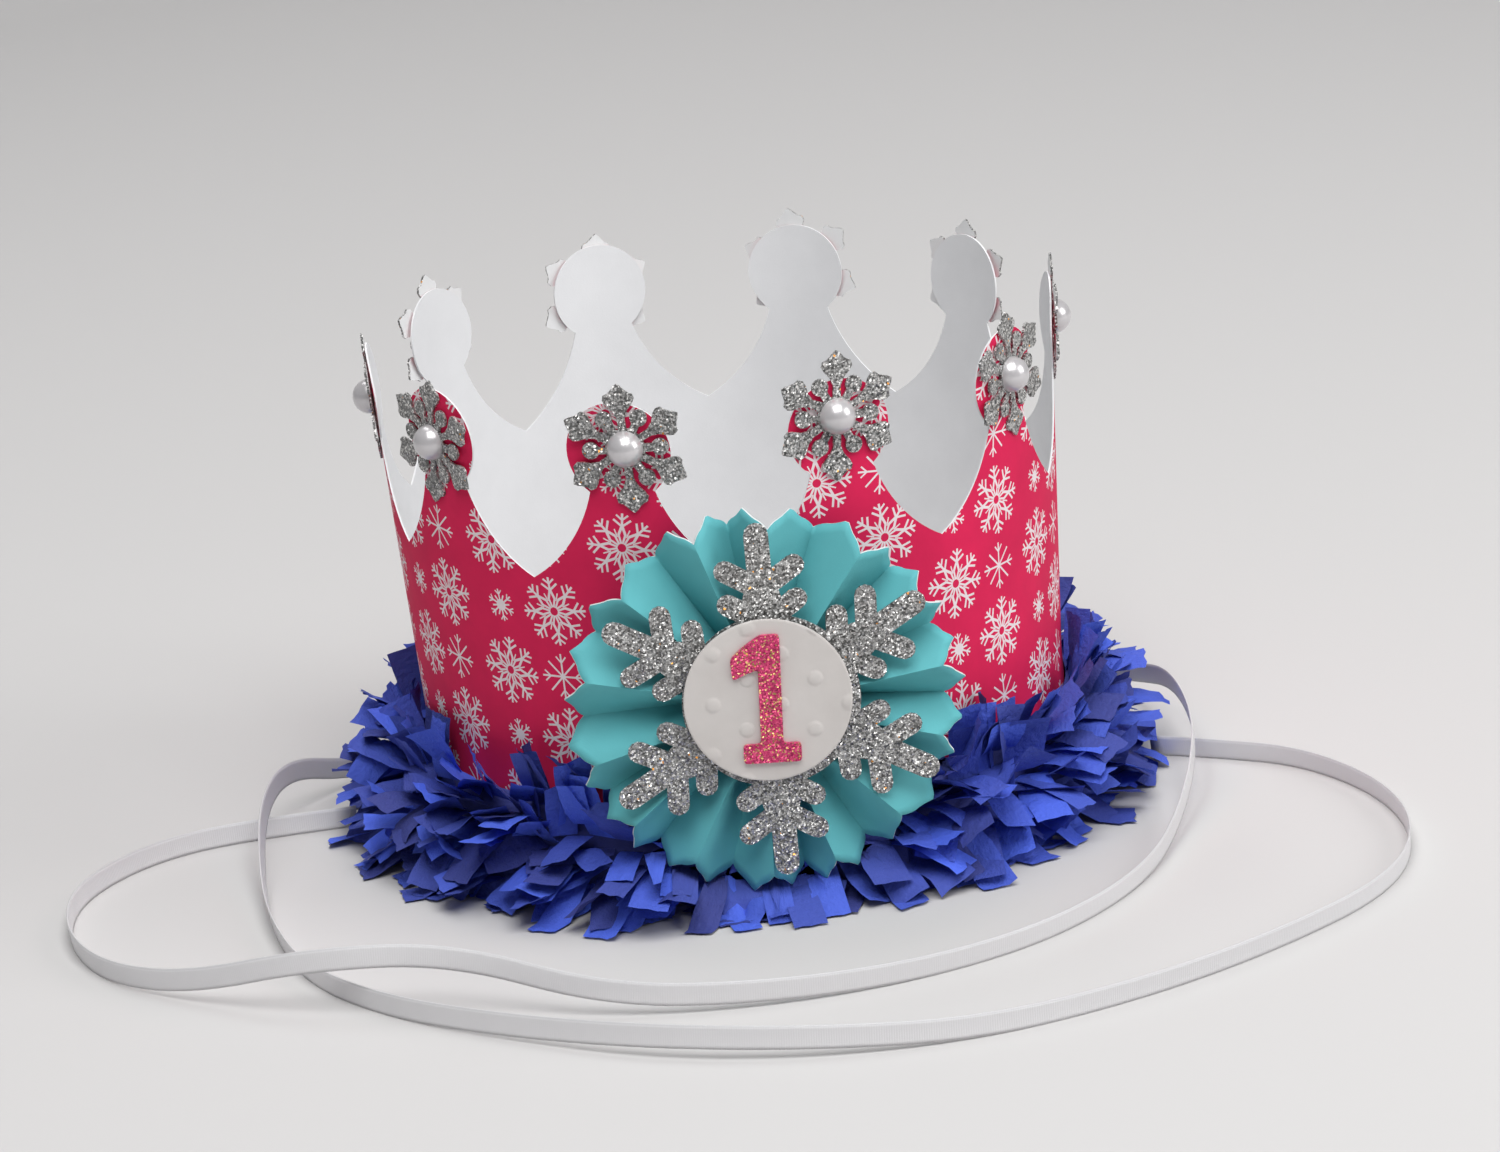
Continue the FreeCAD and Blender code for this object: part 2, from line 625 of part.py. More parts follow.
nodes = ["crown_band", "tissue_fringe", "rosette_backing", "rosette", "glitter_snowflake",
         "badge_foam_pad", "badge_disc", "numeral_one", "half_pearls", "ribbon_left", "ribbon_right"]
nodes += [thing.Label for thing in doc.Objects if thing.Label.startswith("glitter_flake_")]
os.makedirs("parts", exist_ok=True)
for node in nodes:
    piece = doc.getObjectsByLabel(node)[0]
    if piece.Shape.isNull() or not piece.Shape.isValid():
        raise RuntimeError(f"{node} has no valid shape")
    piece.Shape.exportStep(f"parts/{node}.step")
    print(node, len(piece.Shape.Solids), "solids", round(piece.Shape.Volume, 1), "mm3")
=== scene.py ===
import json
import math
import bmesh
import bpy
import numpy as np
from mathutils import Matrix, Vector
from mathutils.geometry import delaunay_2d_cdt

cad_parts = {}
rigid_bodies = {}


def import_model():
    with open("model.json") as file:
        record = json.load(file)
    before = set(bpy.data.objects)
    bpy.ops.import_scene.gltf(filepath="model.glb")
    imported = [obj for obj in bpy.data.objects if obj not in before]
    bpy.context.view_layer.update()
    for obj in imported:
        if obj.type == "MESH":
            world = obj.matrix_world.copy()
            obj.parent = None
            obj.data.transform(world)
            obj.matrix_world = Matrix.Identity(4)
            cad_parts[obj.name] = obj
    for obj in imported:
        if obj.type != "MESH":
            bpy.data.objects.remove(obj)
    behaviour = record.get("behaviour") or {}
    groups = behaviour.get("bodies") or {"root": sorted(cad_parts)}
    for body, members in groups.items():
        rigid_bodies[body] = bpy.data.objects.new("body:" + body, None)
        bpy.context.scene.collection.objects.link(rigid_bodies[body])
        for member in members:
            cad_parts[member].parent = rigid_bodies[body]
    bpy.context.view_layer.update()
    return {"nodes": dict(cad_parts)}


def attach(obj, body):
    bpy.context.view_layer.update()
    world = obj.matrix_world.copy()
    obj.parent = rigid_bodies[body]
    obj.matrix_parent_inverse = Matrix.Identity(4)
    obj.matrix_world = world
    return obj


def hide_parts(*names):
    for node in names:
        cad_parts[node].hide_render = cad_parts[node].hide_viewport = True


for extra in list(bpy.data.objects):
    bpy.data.objects.remove(extra, do_unlink=True)
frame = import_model()
print("crown frame loaded")

mm = 0.001
dice = np.random.default_rng(11)


# small helpers

def addMesh(name, points, faces, slots, faceSlot=None):
    # points in millimetres, an array of rows; faces an array of corner numbers, or a list of lists;
    # faceSlot says for each face which of the slots it takes
    mesh = bpy.data.meshes.new(name)
    mesh.from_pydata((np.asarray(points, float) * mm).tolist(), [], [list(map(int, f)) for f in faces])
    for slot in slots:
        mesh.materials.append(slot)
    mesh.shade_smooth()
    if faceSlot is not None:
        mesh.polygons.foreach_set("material_index", np.asarray(faceSlot, int))
    mesh.update()
    thing = bpy.data.objects.new(name, mesh)
    bpy.context.scene.collection.objects.link(thing)
    return thing


def gridFaces(rows, columns, closed=False):
    # corner numbers of the quads between neighbouring rows and columns of a grid of points
    r = np.arange(rows - 1)[:, None]
    c = np.arange(columns if closed else columns - 1)[None, :]
    on = (c + 1) % columns
    quads = np.stack([r * columns + c, r * columns + on, (r + 1) * columns + on, (r + 1) * columns + c], -1)
    return quads.reshape(-1, 4)


def addUv(thing, uv):
    # uv holds one pair for each point of the mesh
    mesh = thing.data
    layer = mesh.uv_layers.new(name="UVMap")
    corner = np.empty(len(mesh.loops), int)
    mesh.loops.foreach_get("vertex_index", corner)
    layer.data.foreach_set("uv", np.asarray(uv, float)[corner].ravel())


def addValue(thing, name, values):
    # one number for each point of the mesh, read in a material by an Attribute node
    layer = thing.data.attributes.new(name, "FLOAT", "POINT")
    layer.data.foreach_set("value", np.asarray(values, float))


def cover(node, material):
    # a node that is shown as it is takes a material
    slots = frame["nodes"][node].data.materials
    slots.clear()
    slots.append(material)


# materials

class Finish:
    # A material with one Principled shader, and short ways to wire nodes in front of it
    def __init__(self, name, color, roughness, **sockets):
        self.material = bpy.data.materials.new(name)
        self.material.use_nodes = True
        self.tree = self.material.node_tree
        self.shader = self.tree.nodes["Principled BSDF"]
        self.put("Base Color", (*color, 1.0))
        self.put("Roughness", roughness)
        for socket, value in sockets.items():
            self.put(socket.replace("_", " "), value)

    def put(self, socket, value):
        if isinstance(value, bpy.types.NodeSocket):
            self.tree.links.new(value, self.shader.inputs[socket])
        else:
            self.shader.inputs[socket].default_value = value

    def node(self, kind, inputs=(), **settings):
        made = self.tree.nodes.new("ShaderNode" + kind)
        for key, value in settings.items():
            setattr(made, key, value)
        for key, value in dict(inputs).items():
            if isinstance(value, bpy.types.NodeSocket):
                self.tree.links.new(value, made.inputs[key])
            else:
                made.inputs[key].default_value = value
        return made

    def place(self, scale):
        at = self.node("TexCoord").outputs["Object"]
        return self.node("VectorMath", {0: at, "Scale": scale}, operation="SCALE").outputs[0]

    def noise(self, scale, detail, roughness, at=None, stretch=None):
        where = at or self.node("TexCoord").outputs["Object"]
        if stretch:
            where = self.node("Mapping", {"Vector": where, "Scale": stretch}).outputs[0]
        return self.node("TexNoise", {"Vector": where, "Scale": scale, "Detail": detail,
                                      "Roughness": roughness}).outputs["Fac"]

    def math(self, how, a, b=0.0, clamp=False):
        return self.node("Math", {0: a, 1: b}, operation=how, use_clamp=clamp).outputs[0]

    def ramp(self, value, low, high, colors):
        made = self.node("ValToRGB", {"Fac": value})
        bar = made.color_ramp.elements
        for mark, place, color in zip(bar, (low, high), colors):
            mark.position, mark.color = place, (*color, 1.0)
        return made.outputs["Color"]

    def mix(self, share, a, b):
        made = self.node("Mix", data_type="RGBA")
        for socket, value in ((made.inputs[0], share), (made.inputs[6], a), (made.inputs[7], b)):
            if isinstance(value, bpy.types.NodeSocket):
                self.tree.links.new(value, socket)
            else:
                socket.default_value = (*value, 1.0)
        return made.outputs[2]

    def bump(self, height, distance, strength):
        made = self.node("Bump", {"Height": height, "Distance": distance, "Strength": strength})
        self.put("Normal", made.outputs[0])


def paperFinish(name, color, roughness, speck):
    # paper: a faint cloud in its colour, and the fine tooth of its surface
    finish = Finish(name, color, roughness, Specular_IOR_Level=0.12)
    cloud = finish.noise(60.0, 4.0, 0.6)
    dark = tuple(c * (1 - speck * 2) for c in color)
    light = tuple(min(c * (1 + speck), 1.0) for c in color)
    finish.put("Base Color", finish.ramp(cloud, 0.3, 0.7, (dark, light)))
    tooth = finish.noise(2600.0, 2.0, 0.5)
    finish.bump(tooth, 0.00004, 0.5)
    return finish.material


def glitterFinish(name, colors, grain, sparkleAndFleckShare, metal):
    # glitter: each grain is one cell that tilts its own way and has its own shade, drawn at random, which is
    # painted reflection. The colors are the plain one, the darkest and the lightest grain, and the grains
    # that flash: a painted highlight on the silver, gold flecks on the pink.
    finish = Finish(name, colors[0], 0.35)
    cells = finish.node("TexVoronoi", {"Vector": finish.place(1000.0 / grain), "Scale": 1.0,
                                       "Randomness": 1.0}, feature="F1")
    tilt = finish.node("VectorMath", {0: cells.outputs["Color"], 1: (0.5, 0.5, 0.5)}, operation="SUBTRACT")
    tilt = finish.node("VectorMath", {0: tilt.outputs[0], "Scale": 1.5}, operation="SCALE")
    face = finish.node("NewGeometry").outputs["Normal"]
    leaning = finish.node("VectorMath", {0: face, 1: tilt.outputs[0]}, operation="ADD")
    normal = finish.node("VectorMath", {0: leaning.outputs[0]}, operation="NORMALIZE").outputs[0]
    finish.put("Normal", normal)
    parts = finish.node("SeparateXYZ", {0: cells.outputs["Color"]})
    # painted reflection: each grain takes a shade at random between the darkest and the lightest grain
    shade = finish.ramp(parts.outputs[0], 0.0, 1.0, (colors[1], colors[2]))
    # painted shade: each grain darkens towards its edge, towards the darkest grain's colour
    rim = finish.math("MULTIPLY", cells.outputs["Distance"], 1.1, clamp=True)
    shade = finish.mix(rim, shade, colors[1])
    # grains that flash: on the silver a painted highlight, on the pink real gold flecks
    sparkleAndFleck = finish.math("GREATER_THAN", parts.outputs[1], 1.0 - sparkleAndFleckShare)
    shade = finish.mix(sparkleAndFleck, shade, colors[3])
    glint = finish.math("GREATER_THAN", parts.outputs[2], 0.996)
    finish.put("Base Color", finish.mix(glint, shade, (1.0, 0.42, 0.08)))
    finish.put("Metallic", metal)
    return finish.material


# camera

view = {"lens": 126.602, "elevation": 16.861, "azimuth": 1.538, "roll": -5.617, "distance": 1.2025,
        "aside": -0.00587, "above": 0.021953, "aimHeight": 0.075}


def addCamera():
    # looks along forward, turned about it by the roll
    up, turn, roll = (math.radians(view[key]) for key in ("elevation", "azimuth", "roll"))
    forward = Vector((math.sin(turn) * math.cos(up), math.cos(turn) * math.cos(up), -math.sin(up)))
    right = Vector((math.cos(turn), -math.sin(turn), 0))
    top = right.cross(forward)
    across = math.cos(roll) * right + math.sin(roll) * top
    upward = -math.sin(roll) * right + math.cos(roll) * top
    at = (Vector((0, 0, view["aimHeight"])) - view["distance"] * forward - view["aside"] * across
          - view["above"] * upward)
    lens = bpy.data.cameras.new("camera")
    lens.lens, lens.sensor_width, lens.clip_end = view["lens"], 36.0, 20.0
    eye = bpy.data.objects.new("camera", lens)
    eye.matrix_world = Matrix((across, upward, -forward)).transposed().to_4x4()
    eye.matrix_world.translation = at
    bpy.context.scene.collection.objects.link(eye)
    bpy.context.scene.camera = eye


addCamera()
print("camera set")


# ribbons
# Each stands on its edge. The points are its middle line: across, back, and the lift of its lower edge.

ribbons = {
    "width": 5.0, "thickness": 0.32, "lean": 0.16, "leanRun": 47.0, "bow": 0.25, "clear": 0.05,
    "left": [
        (-36.9, 63.95, 0), (-57, 53.5, 0), (-77, 43.5, 0), (-95, 34, 1.5), (-108, 15, 10), (-113, -12, 10),
        (-113, -39, 1.5), (-110, -65, 0), (-102, -96, 0), (-84, -120.5, 0), (-58, -141, 0.8),
        (-29, -159.5, 2.4), (3, -168.5, 2), (37, -168, 0), (72, -155.5, 0), (103, -136, 0),
        (130, -111.5, 0), (140.5, -83, 0), (138.5, -53, 0), (125, -25.5, 0), (106, -13, 0), (92, -6, 0)],
    "right": [
        (19.1, 71.3, 0), (42, 68, 0), (63, 65, 0), (81, 55, 1), (94, 37, 4), (100.5, 12, 10),
        (100.5, -30, 10), (92, -60, 1.5), (80, -91, 0), (57, -117.5, 0), (27, -132.5, 0), (-6, -138, 1),
        (-38, -134, 2.5), (-70, -118.5, 10), (-100, -114, 10), (-127, -99, 2), (-146, -82, 0),
        (-156, -58, 0), (-156, -30, 0), (-142, -8, 0), (-121, 2.5, 0), (-92.5, 4, 0)],
}


def satin():
    finish = Finish("whiteSatin", (0.74, 0.73, 0.74), 0.42, Sheen_Weight=0.1)
    uv = finish.node("TexCoord").outputs["UV"]
    weft = finish.node("TexWave", {"Vector": uv, "Scale": 620.0, "Distortion": 0.6, "Detail": 1.0},
                       bands_direction="X").outputs["Fac"]
    sides = finish.node("SeparateXYZ", {0: uv}).outputs[1]
    away = finish.math("ABSOLUTE", finish.math("SUBTRACT", sides, 0.5))
    selvedge = finish.math("GREATER_THAN", away, 0.42)
    finish.put("Base Color", finish.mix(selvedge, (0.74, 0.73, 0.74), (0.63, 0.62, 0.63)))
    finish.bump(weft, 0.00003, 0.5)
    return finish.material


def addRibbon(name, route, cloth):
    width, thick = ribbons["width"], ribbons["thickness"]
    curve = bpy.data.curves.new(name + "Route", "CURVE")
    curve.dimensions = "3D"
    curve.resolution_u = 10
    spline = curve.splines.new("NURBS")
    spline.points.add(len(route) - 1)
    for point, (x, y, lift) in zip(spline.points, route):
        point.co = (x * mm, y * mm, (lift + width / 2) * mm, 1.0)
    spline.order_u = 3
    spline.use_endpoint_u = True
    guide = bpy.data.objects.new(name + "Route", curve)
    bpy.context.scene.collection.objects.link(guide)
    line = bpy.data.meshes.new_from_object(guide)
    path = np.empty(len(line.vertices) * 3)
    line.vertices.foreach_get("co", path)
    path = path.reshape(-1, 3) / mm
    bpy.data.objects.remove(guide)
    # the upright profile goes along the path, leaning a little to one side and the other
    ahead = np.gradient(path, axis=0)
    ahead /= np.linalg.norm(ahead, axis=1, keepdims=True)
    along = np.concatenate([[0], np.cumsum(np.linalg.norm(np.diff(path, axis=0), axis=1))])
    side = np.cross(ahead, [0, 0, 1.0])
    side /= np.linalg.norm(side, axis=1, keepdims=True)
    lean = ribbons["lean"] * np.sin(along / ribbons["leanRun"] + len(name))
    rise = np.cross(side, ahead) + side * lean[:, None]
    rise /= np.linalg.norm(rise, axis=1, keepdims=True)
    across = np.cross(ahead, rise)
    steps = np.linspace(-0.5, 0.5, 7)
    bow = ribbons["bow"] * (steps ** 2 - 0.1)
    face = [path + rise * (s * width) + across * (b + thick / 2) for s, b in zip(steps, bow)]
    back = [path + rise * (s * width) + across * (b - thick / 2) for s, b in zip(steps, bow)]
    ring = np.stack(face + back[::-1], 1)
    count, corners = ring.shape[:2]
    points = ring.reshape(-1, 3)
    points[:, 2] = np.maximum(points[:, 2], ribbons["clear"])
    faces = gridFaces(count, corners, closed=True).tolist()
    faces += [list(range(corners))[::-1], list(range((count - 1) * corners, count * corners))]
    strip = addMesh(name, points, faces, [cloth])
    sides = np.tile(np.concatenate([steps + 0.5, steps[::-1] + 0.5]), count)
    addUv(strip, np.stack([np.repeat(along / 1000.0, corners), sides], 1))
    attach(strip, "root")
    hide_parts(name)
    print(name, "laid,", round(along[-1], 1), "mm")


satinWhite = satin()
addRibbon("ribbon_left", ribbons["left"], satinWhite)
addRibbon("ribbon_right", ribbons["right"], satinWhite)


# the card band and its print

band = {"hemRadius": 73.5, "hemHeight": 30.0, "flare": 2.8, "card": 0.4, "lobes": 10, "valley": 75.0,
        "headHeight": 104.1, "headRadius": 11.3, "neckHalf": 7.1, "shoulderTurn": 22.6, "drawRadius": 75.0,
        "net": 20, "netHeights": (15, 30, 45, 60, 75, 90, 105), "above": 120}

# the print: rows of motifs on two sheets that meet at the front and at the back.
# Each sheet has columns with a large flake and a thin star, and between them columns with a
# large flake and a small burst.
printed = {
    "periodAround": 32.7, "periodUp": 30.4, "columnGap": 14.6,
    "leftStart": -43.2, "leftHeight": 67.4, "rightStart": 32.2, "rightHeight": 77.9, "meet": 4.0,
    "rightGapMore": 3.5, "margin": 3, "motifReach": 8.5,
}


def cardRadius(z):
    # the hem is straight, and above it the radius grows with the height
    return band["hemRadius"] + np.maximum(z - band["hemHeight"], 0) * math.tan(math.radians(band["flare"]))


def wrap(flat, lift=0.0):
    # flat places (along the card, up) go to the card: the angle is the way along over the draw radius
    flat = np.asarray(flat, float)
    angle = flat[:, 0] / band["drawRadius"]
    radius = cardRadius(flat[:, 1]) + lift
    return np.stack([radius * np.sin(angle), -radius * np.cos(angle), flat[:, 1]], 1)


def lobeOutline():
    # one lobe from its right valley over the head to its left valley: a hollow arc, the round head
    # and the hollow arc again
    head, radius, neck = band["headHeight"], band["headRadius"], band["neckHalf"]
    half = math.pi * band["drawRadius"] / band["lobes"]
    neckAt = np.array([neck, head - math.sqrt(radius ** 2 - neck ** 2)])
    valleyAt = np.array([half, band["valley"]])
    chord = valleyAt - neckAt
    length = np.hypot(*chord)
    bend = length / (2 * math.sin(math.radians(band["shoulderTurn"])))
    centre = (neckAt + valleyAt) / 2 + np.array([-chord[1], chord[0]]) / length * math.sqrt(
        bend ** 2 - length ** 2 / 4)
    first, last = (math.atan2(*(p - centre)[::-1]) % (2 * math.pi) for p in (valleyAt, neckAt))
    turn = np.linspace(first, last, 15)
    arc = centre + bend * np.stack([np.cos(turn), np.sin(turn)], 1)
    turn = np.linspace(math.atan2(neckAt[1] - head, neck), math.pi / 2, 22)
    top = np.stack([radius * np.cos(turn), head + radius * np.sin(turn)], 1)
    right = np.concatenate([arc, top[1:]])
    return np.concatenate([right, (right * [-1, 1])[::-1][1:]]), half


def stroke(a, b, width):
    a, b = np.array(a, float), np.array(b, float)
    side = np.array([a[1] - b[1], b[0] - a[0]])
    side *= width / 2 / np.hypot(*side)
    return np.array([a - side, b - side, b + side, a + side])


def motif(kind):
    # strokes of one snowflake about its centre, in millimetres
    def at(radius, degrees):
        turn = math.radians(degrees)
        return radius * math.cos(turn), radius * math.sin(turn)

    shapes = []
    if kind == "large":
        for k in range(8):
            t = 90 + 45 * k
            shapes.append(stroke(at(4.3, t), at(7.9, t), 0.52))
            for side in (-1, 1):
                shapes.append(stroke(at(0.95, t + side * 9), at(3.2, t + side * 14), 0.46))
                shapes.append(stroke(at(3.0, t + side * 15), at(5.1, t), 0.6))
                shapes.append(stroke(at(4.9, t), at(6.7, t + side * 17), 0.5))
                shapes.append(stroke(at(6.4, t), at(7.6, t + side * 10), 0.44))
            shapes.append(stroke(at(2.6, t + 22.5), at(4.5, t + 22.5), 0.3))
    elif kind == "star":
        for k in range(8):
            t = 90 + 45 * k
            shapes.append(stroke(at(0, t + 180), at(5.3 if k % 2 == 0 else 4.8, t), 0.44))
            if k % 2 == 0:
                for side in (-1, 1):
                    shapes.append(stroke(at(3.2, t), at(4.8, t + side * 15), 0.36))
    else:
        turns = np.arange(12) * math.pi / 6
        shapes.append(1.35 * np.stack([np.cos(turns), np.sin(turns)], 1))
        for k in range(12):
            t = 90 + 30 * k
            shapes.append(stroke(at(0.8, t), at(3.7 if k % 2 == 0 else 2.5, t), 0.4))
            if k % 2 == 0:
                for side in (-1, 1):
                    shapes.append(stroke(at(2.4, t), at(3.5, t + side * 15), 0.32))
    return shapes


def motifPlaces():
    # two kinds of columns take turns round each sheet, the second half a period lower. Each sheet
    # is listed again a whole girth away, so that motifs over the flat card's ends are whole.
    places = []
    girth = 2 * math.pi * band["drawRadius"]
    meet = printed["meet"]
    up, around, gap = printed["periodUp"], printed["periodAround"], printed["columnGap"]
    sheets = ((printed["leftStart"], printed["leftHeight"], meet - girth / 2, meet),
              (printed["rightStart"], printed["rightHeight"], meet, meet + girth / 2),
              (printed["rightStart"] - girth, printed["rightHeight"], meet - girth, meet - girth / 2),
              (printed["leftStart"] + girth, printed["leftHeight"], meet + girth / 2, meet + girth))
    for start, height, low, high in sheets:
        between = -gap if height == printed["leftHeight"] else gap + printed["rightGapMore"]
        for step in range(-16, 17):
            for offset, small in ((0.0, "star"), (between, "burst")):
                s = start + step * around + offset
                base = height if offset == 0.0 else height - up / 2
                if low + printed["margin"] < s < high - printed["margin"]:
                    for row in range(-4, 4):
                        places.append((s, base + row * up, "large"))
                        places.append((s, base + (row + 0.5) * up, small))
    return places


def ringsOf(shapes):
    # the borders of overlapping flat shapes: joined by a Delaunay fill, then its free edges.
    # A border counts 1, a hole in it -1.
    points, loops, count = [], [], 0
    for shape in shapes:
        points += [Vector(p) for p in shape]
        loops.append(list(range(count, count + len(shape))))
        count += len(shape)
    made = delaunay_2d_cdt(points, [], loops, 1, 1e-5, True)
    seen = set()
    for face, source in zip(made[2], made[5]):
        if source:
            seen.update(zip(face, face[1:] + face[:1]))
    onward = {a: b for a, b in seen if (b, a) not in seen}
    rings = []
    while onward:
        here, ring = next(iter(onward)), []
        while here in onward:
            ring.append(tuple(made[0][here]))
            here = onward.pop(here)
        ring = np.array(ring)
        x, y = ring[:, 0], ring[:, 1]
        area = (x * np.roll(y, -1) - y * np.roll(x, -1)).sum() / 2
        if abs(area) > 0.005:
            rings.append((ring if area > 0 else ring[::-1], 1 if area > 0 else -1))
    return rings


def cardSheet(motifs, places):
    # the flat card, lobe by lobe: the lobe's border, the print's borders and a net of lines
    outline, half = lobeOutline()
    reach = printed["motifReach"]
    allPoints, allFaces, allSlots, seams, base = [], [], [], {}, 0
    for lobe in range(band["lobes"]):
        middle = (2 * lobe + 1) * half - math.pi * band["drawRadius"]
        low, high = middle - half, middle + half
        points = [np.concatenate([[[-half, 0.0]], [[half, 0.0]], outline]) + [middle, 0]]
        count = len(points[0])
        loops, signs = [list(range(count))], [0]
        for s, z, kind in places:
            if not (low - reach < s < high + reach and -reach < z < band["above"] + 5):
                continue
            turn = math.radians(7 * math.sin(s * 3.1 + z))
            spin = np.array([[math.cos(turn), math.sin(turn)], [-math.sin(turn), math.cos(turn)]])
            for ring, sign in motifs[kind]:
                placed = ring @ spin + [s, z]
                if placed[:, 0].max() < low or placed[:, 0].min() > high:
                    continue
                points.append(placed)
                loops.append(list(range(count, count + len(placed))))
                signs.append(sign)
                count += len(placed)
        ups = low + np.arange(1, band["net"]) * 2 * half / band["net"]
        net = [[(s, 0), (s, band["above"])] for s in ups]
        net += [[(low, z), (high, z)] for z in band["netHeights"]]
        edges = [(count + 2 * k, count + 2 * k + 1) for k in range(len(net))]
        points.append(np.array(net, float).reshape(-1, 2))
        made = delaunay_2d_cdt([Vector(p) for p in np.concatenate(points)], edges, loops, 1, 1e-5, True)
        verts = np.array([tuple(v) for v in made[0]])
        # points on a seam take exactly the heights that the neighbouring lobe has there
        for seam, s in ((lobe, low), ((lobe + 1) % band["lobes"], high)):
            on = np.flatnonzero(np.abs(verts[:, 0] - s) < 1e-3)
            verts[on, 0] = s
            if seam in seams:
                gap = np.abs(verts[on, 1][:, None] - seams[seam][None, :])
                verts[on, 1] = np.where(gap.min(1) < 0.05, seams[seam][gap.argmin(1)], verts[on, 1])
            else:
                seams[seam] = verts[on, 1]
        for face, source in zip(made[2], made[5]):
            if 0 in source:
                allFaces.append([base + corner for corner in face])
                allSlots.append(1 if sum(signs[k] for k in source) > 0 else 0)
        allPoints.append(verts)
        base += len(verts)
    flat = np.concatenate(allPoints)
    around = flat[:, 0] / band["drawRadius"]
    # points of two lobes that come to one place on the card are one point, the last meeting the first too
    key = np.round(np.stack([np.sin(around) * 4000, np.cos(around) * 4000, flat[:, 1] * 100], 1)).astype(int)
    first, merged = np.unique(key, axis=0, return_index=True, return_inverse=True)[1:]
    faces = merged.reshape(-1)[np.array(allFaces)]
    whole = (faces[:, 0] != faces[:, 1]) & (faces[:, 1] != faces[:, 2]) & (faces[:, 2] != faces[:, 0])
    used, faces = np.unique(faces[whole], return_inverse=True)
    return flat[first][used], faces.reshape(-1, 3), np.array(allSlots)[whole]


def coneNormals(thing, points, inward, plain):
    # the card's corners take the normals of the true cone; the faces after the plain-th keep their own
    mesh = thing.data
    corner = np.empty(len(mesh.loops), int)
    mesh.loops.foreach_get("vertex_index", corner)
    total = np.empty(len(mesh.polygons), int)
    mesh.polygons.foreach_get("loop_total", total)
    facing = np.empty(len(mesh.polygons) * 3)
    mesh.polygons.foreach_get("normal", facing)
    place = points[corner]
    normals = place * [1, 1, 0]
    normals /= np.linalg.norm(normals, axis=1, keepdims=True)
    slope = -math.tan(math.radians(band["flare"]))
    normals[:, 2] = np.where(place[:, 2] > band["hemHeight"] + 0.01, slope, 0)
    normals *= -1 if inward else 1
    part = np.repeat(np.arange(len(mesh.polygons)), total)
    normals[part >= plain] = facing.reshape(-1, 3)[part[part >= plain]]
    normals /= np.linalg.norm(normals, axis=1, keepdims=True)
    mesh.normals_split_custom_set(normals.tolist())


def addCard():
    crimson = paperFinish("crimsonPrint", (0.72, 0.020, 0.095), 0.7, 0.05)
    paleInk = paperFinish("paperWhitePrint", (0.86, 0.76, 0.78), 0.7, 0.03)
    plainCard = paperFinish("whiteCard", (0.78, 0.78, 0.79), 0.75, 0.02)
    motifs = {kind: ringsOf(motif(kind)) for kind in ("large", "star", "burst")}
    flat, faces, slots = cardSheet(motifs, motifPlaces())
    points = wrap(flat)
    front = addMesh("printed_card_front", points, faces, [crimson, paleInk], slots)
    coneNormals(front, points, False, len(faces))
    print("print drawn,", len(faces), "faces")
    # the inside and the cut edges: the same sheet without print, set in by the card's thickness
    flat, faces, slots = cardSheet({}, [])
    edges = np.concatenate([faces[:, [0, 1]], faces[:, [1, 2]], faces[:, [2, 0]]])
    codes = edges[:, 0] * len(flat) + edges[:, 1]
    rim = edges[~np.isin(codes, edges[:, 1] * len(flat) + edges[:, 0])]
    used, numbers = np.unique(rim, return_inverse=True)
    numbers = numbers.reshape(-1, 2) + len(flat)
    points = np.concatenate([wrap(flat, -band["card"]), wrap(flat[used])])
    sides = np.stack([numbers[:, 0], rim[:, 0], rim[:, 1], numbers[:, 1]], 1)
    shell = faces[:, ::-1].tolist() + sides.tolist()
    inside = addMesh("plain_card_inside", points, shell, [plainCard])
    coneNormals(inside, points, True, len(faces))
    for piece in (front, inside):
        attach(piece, "root")
        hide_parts("crown_band")


addCard()
print("card band wrapped")


# tissue fringe

# angles in degrees, a pair where a value is drawn between two, Spread where it is drawn about a mean
fringe = {"rows": 7, "perRow": 100, "bottom": 4.5, "top": 22.0, "rootRadius": 75.0, "rootLoose": 5.5,
          "length": 16.5, "width": 8.0, "steps": 8, "across": 4, "lengths": (0.74, 1.14),
          "widths": (0.75, 1.2), "lowestRise": -32, "riseGain": 80, "riseSpread": 17, "uprightRise": (58, 84),
          "rightDroop": 9, "yawSpread": 28, "curl": -12, "curlSpread": 22, "twistSpread": 15, "folds": 3,
          "foldSpread": 0.95, "floorFrom": 1.2, "cardGap": 0.35, "stripSides": 120,
          "strip": [(1.0, 73.9), (1.0, 74.9), (8.0, 75.2), (16.0, 75.0), (23.0, 74.6), (23.0, 73.9)]}
rosetteSpot = {"across": 2.05, "height": 48.0, "radius": 43.5, "back": -76.2}


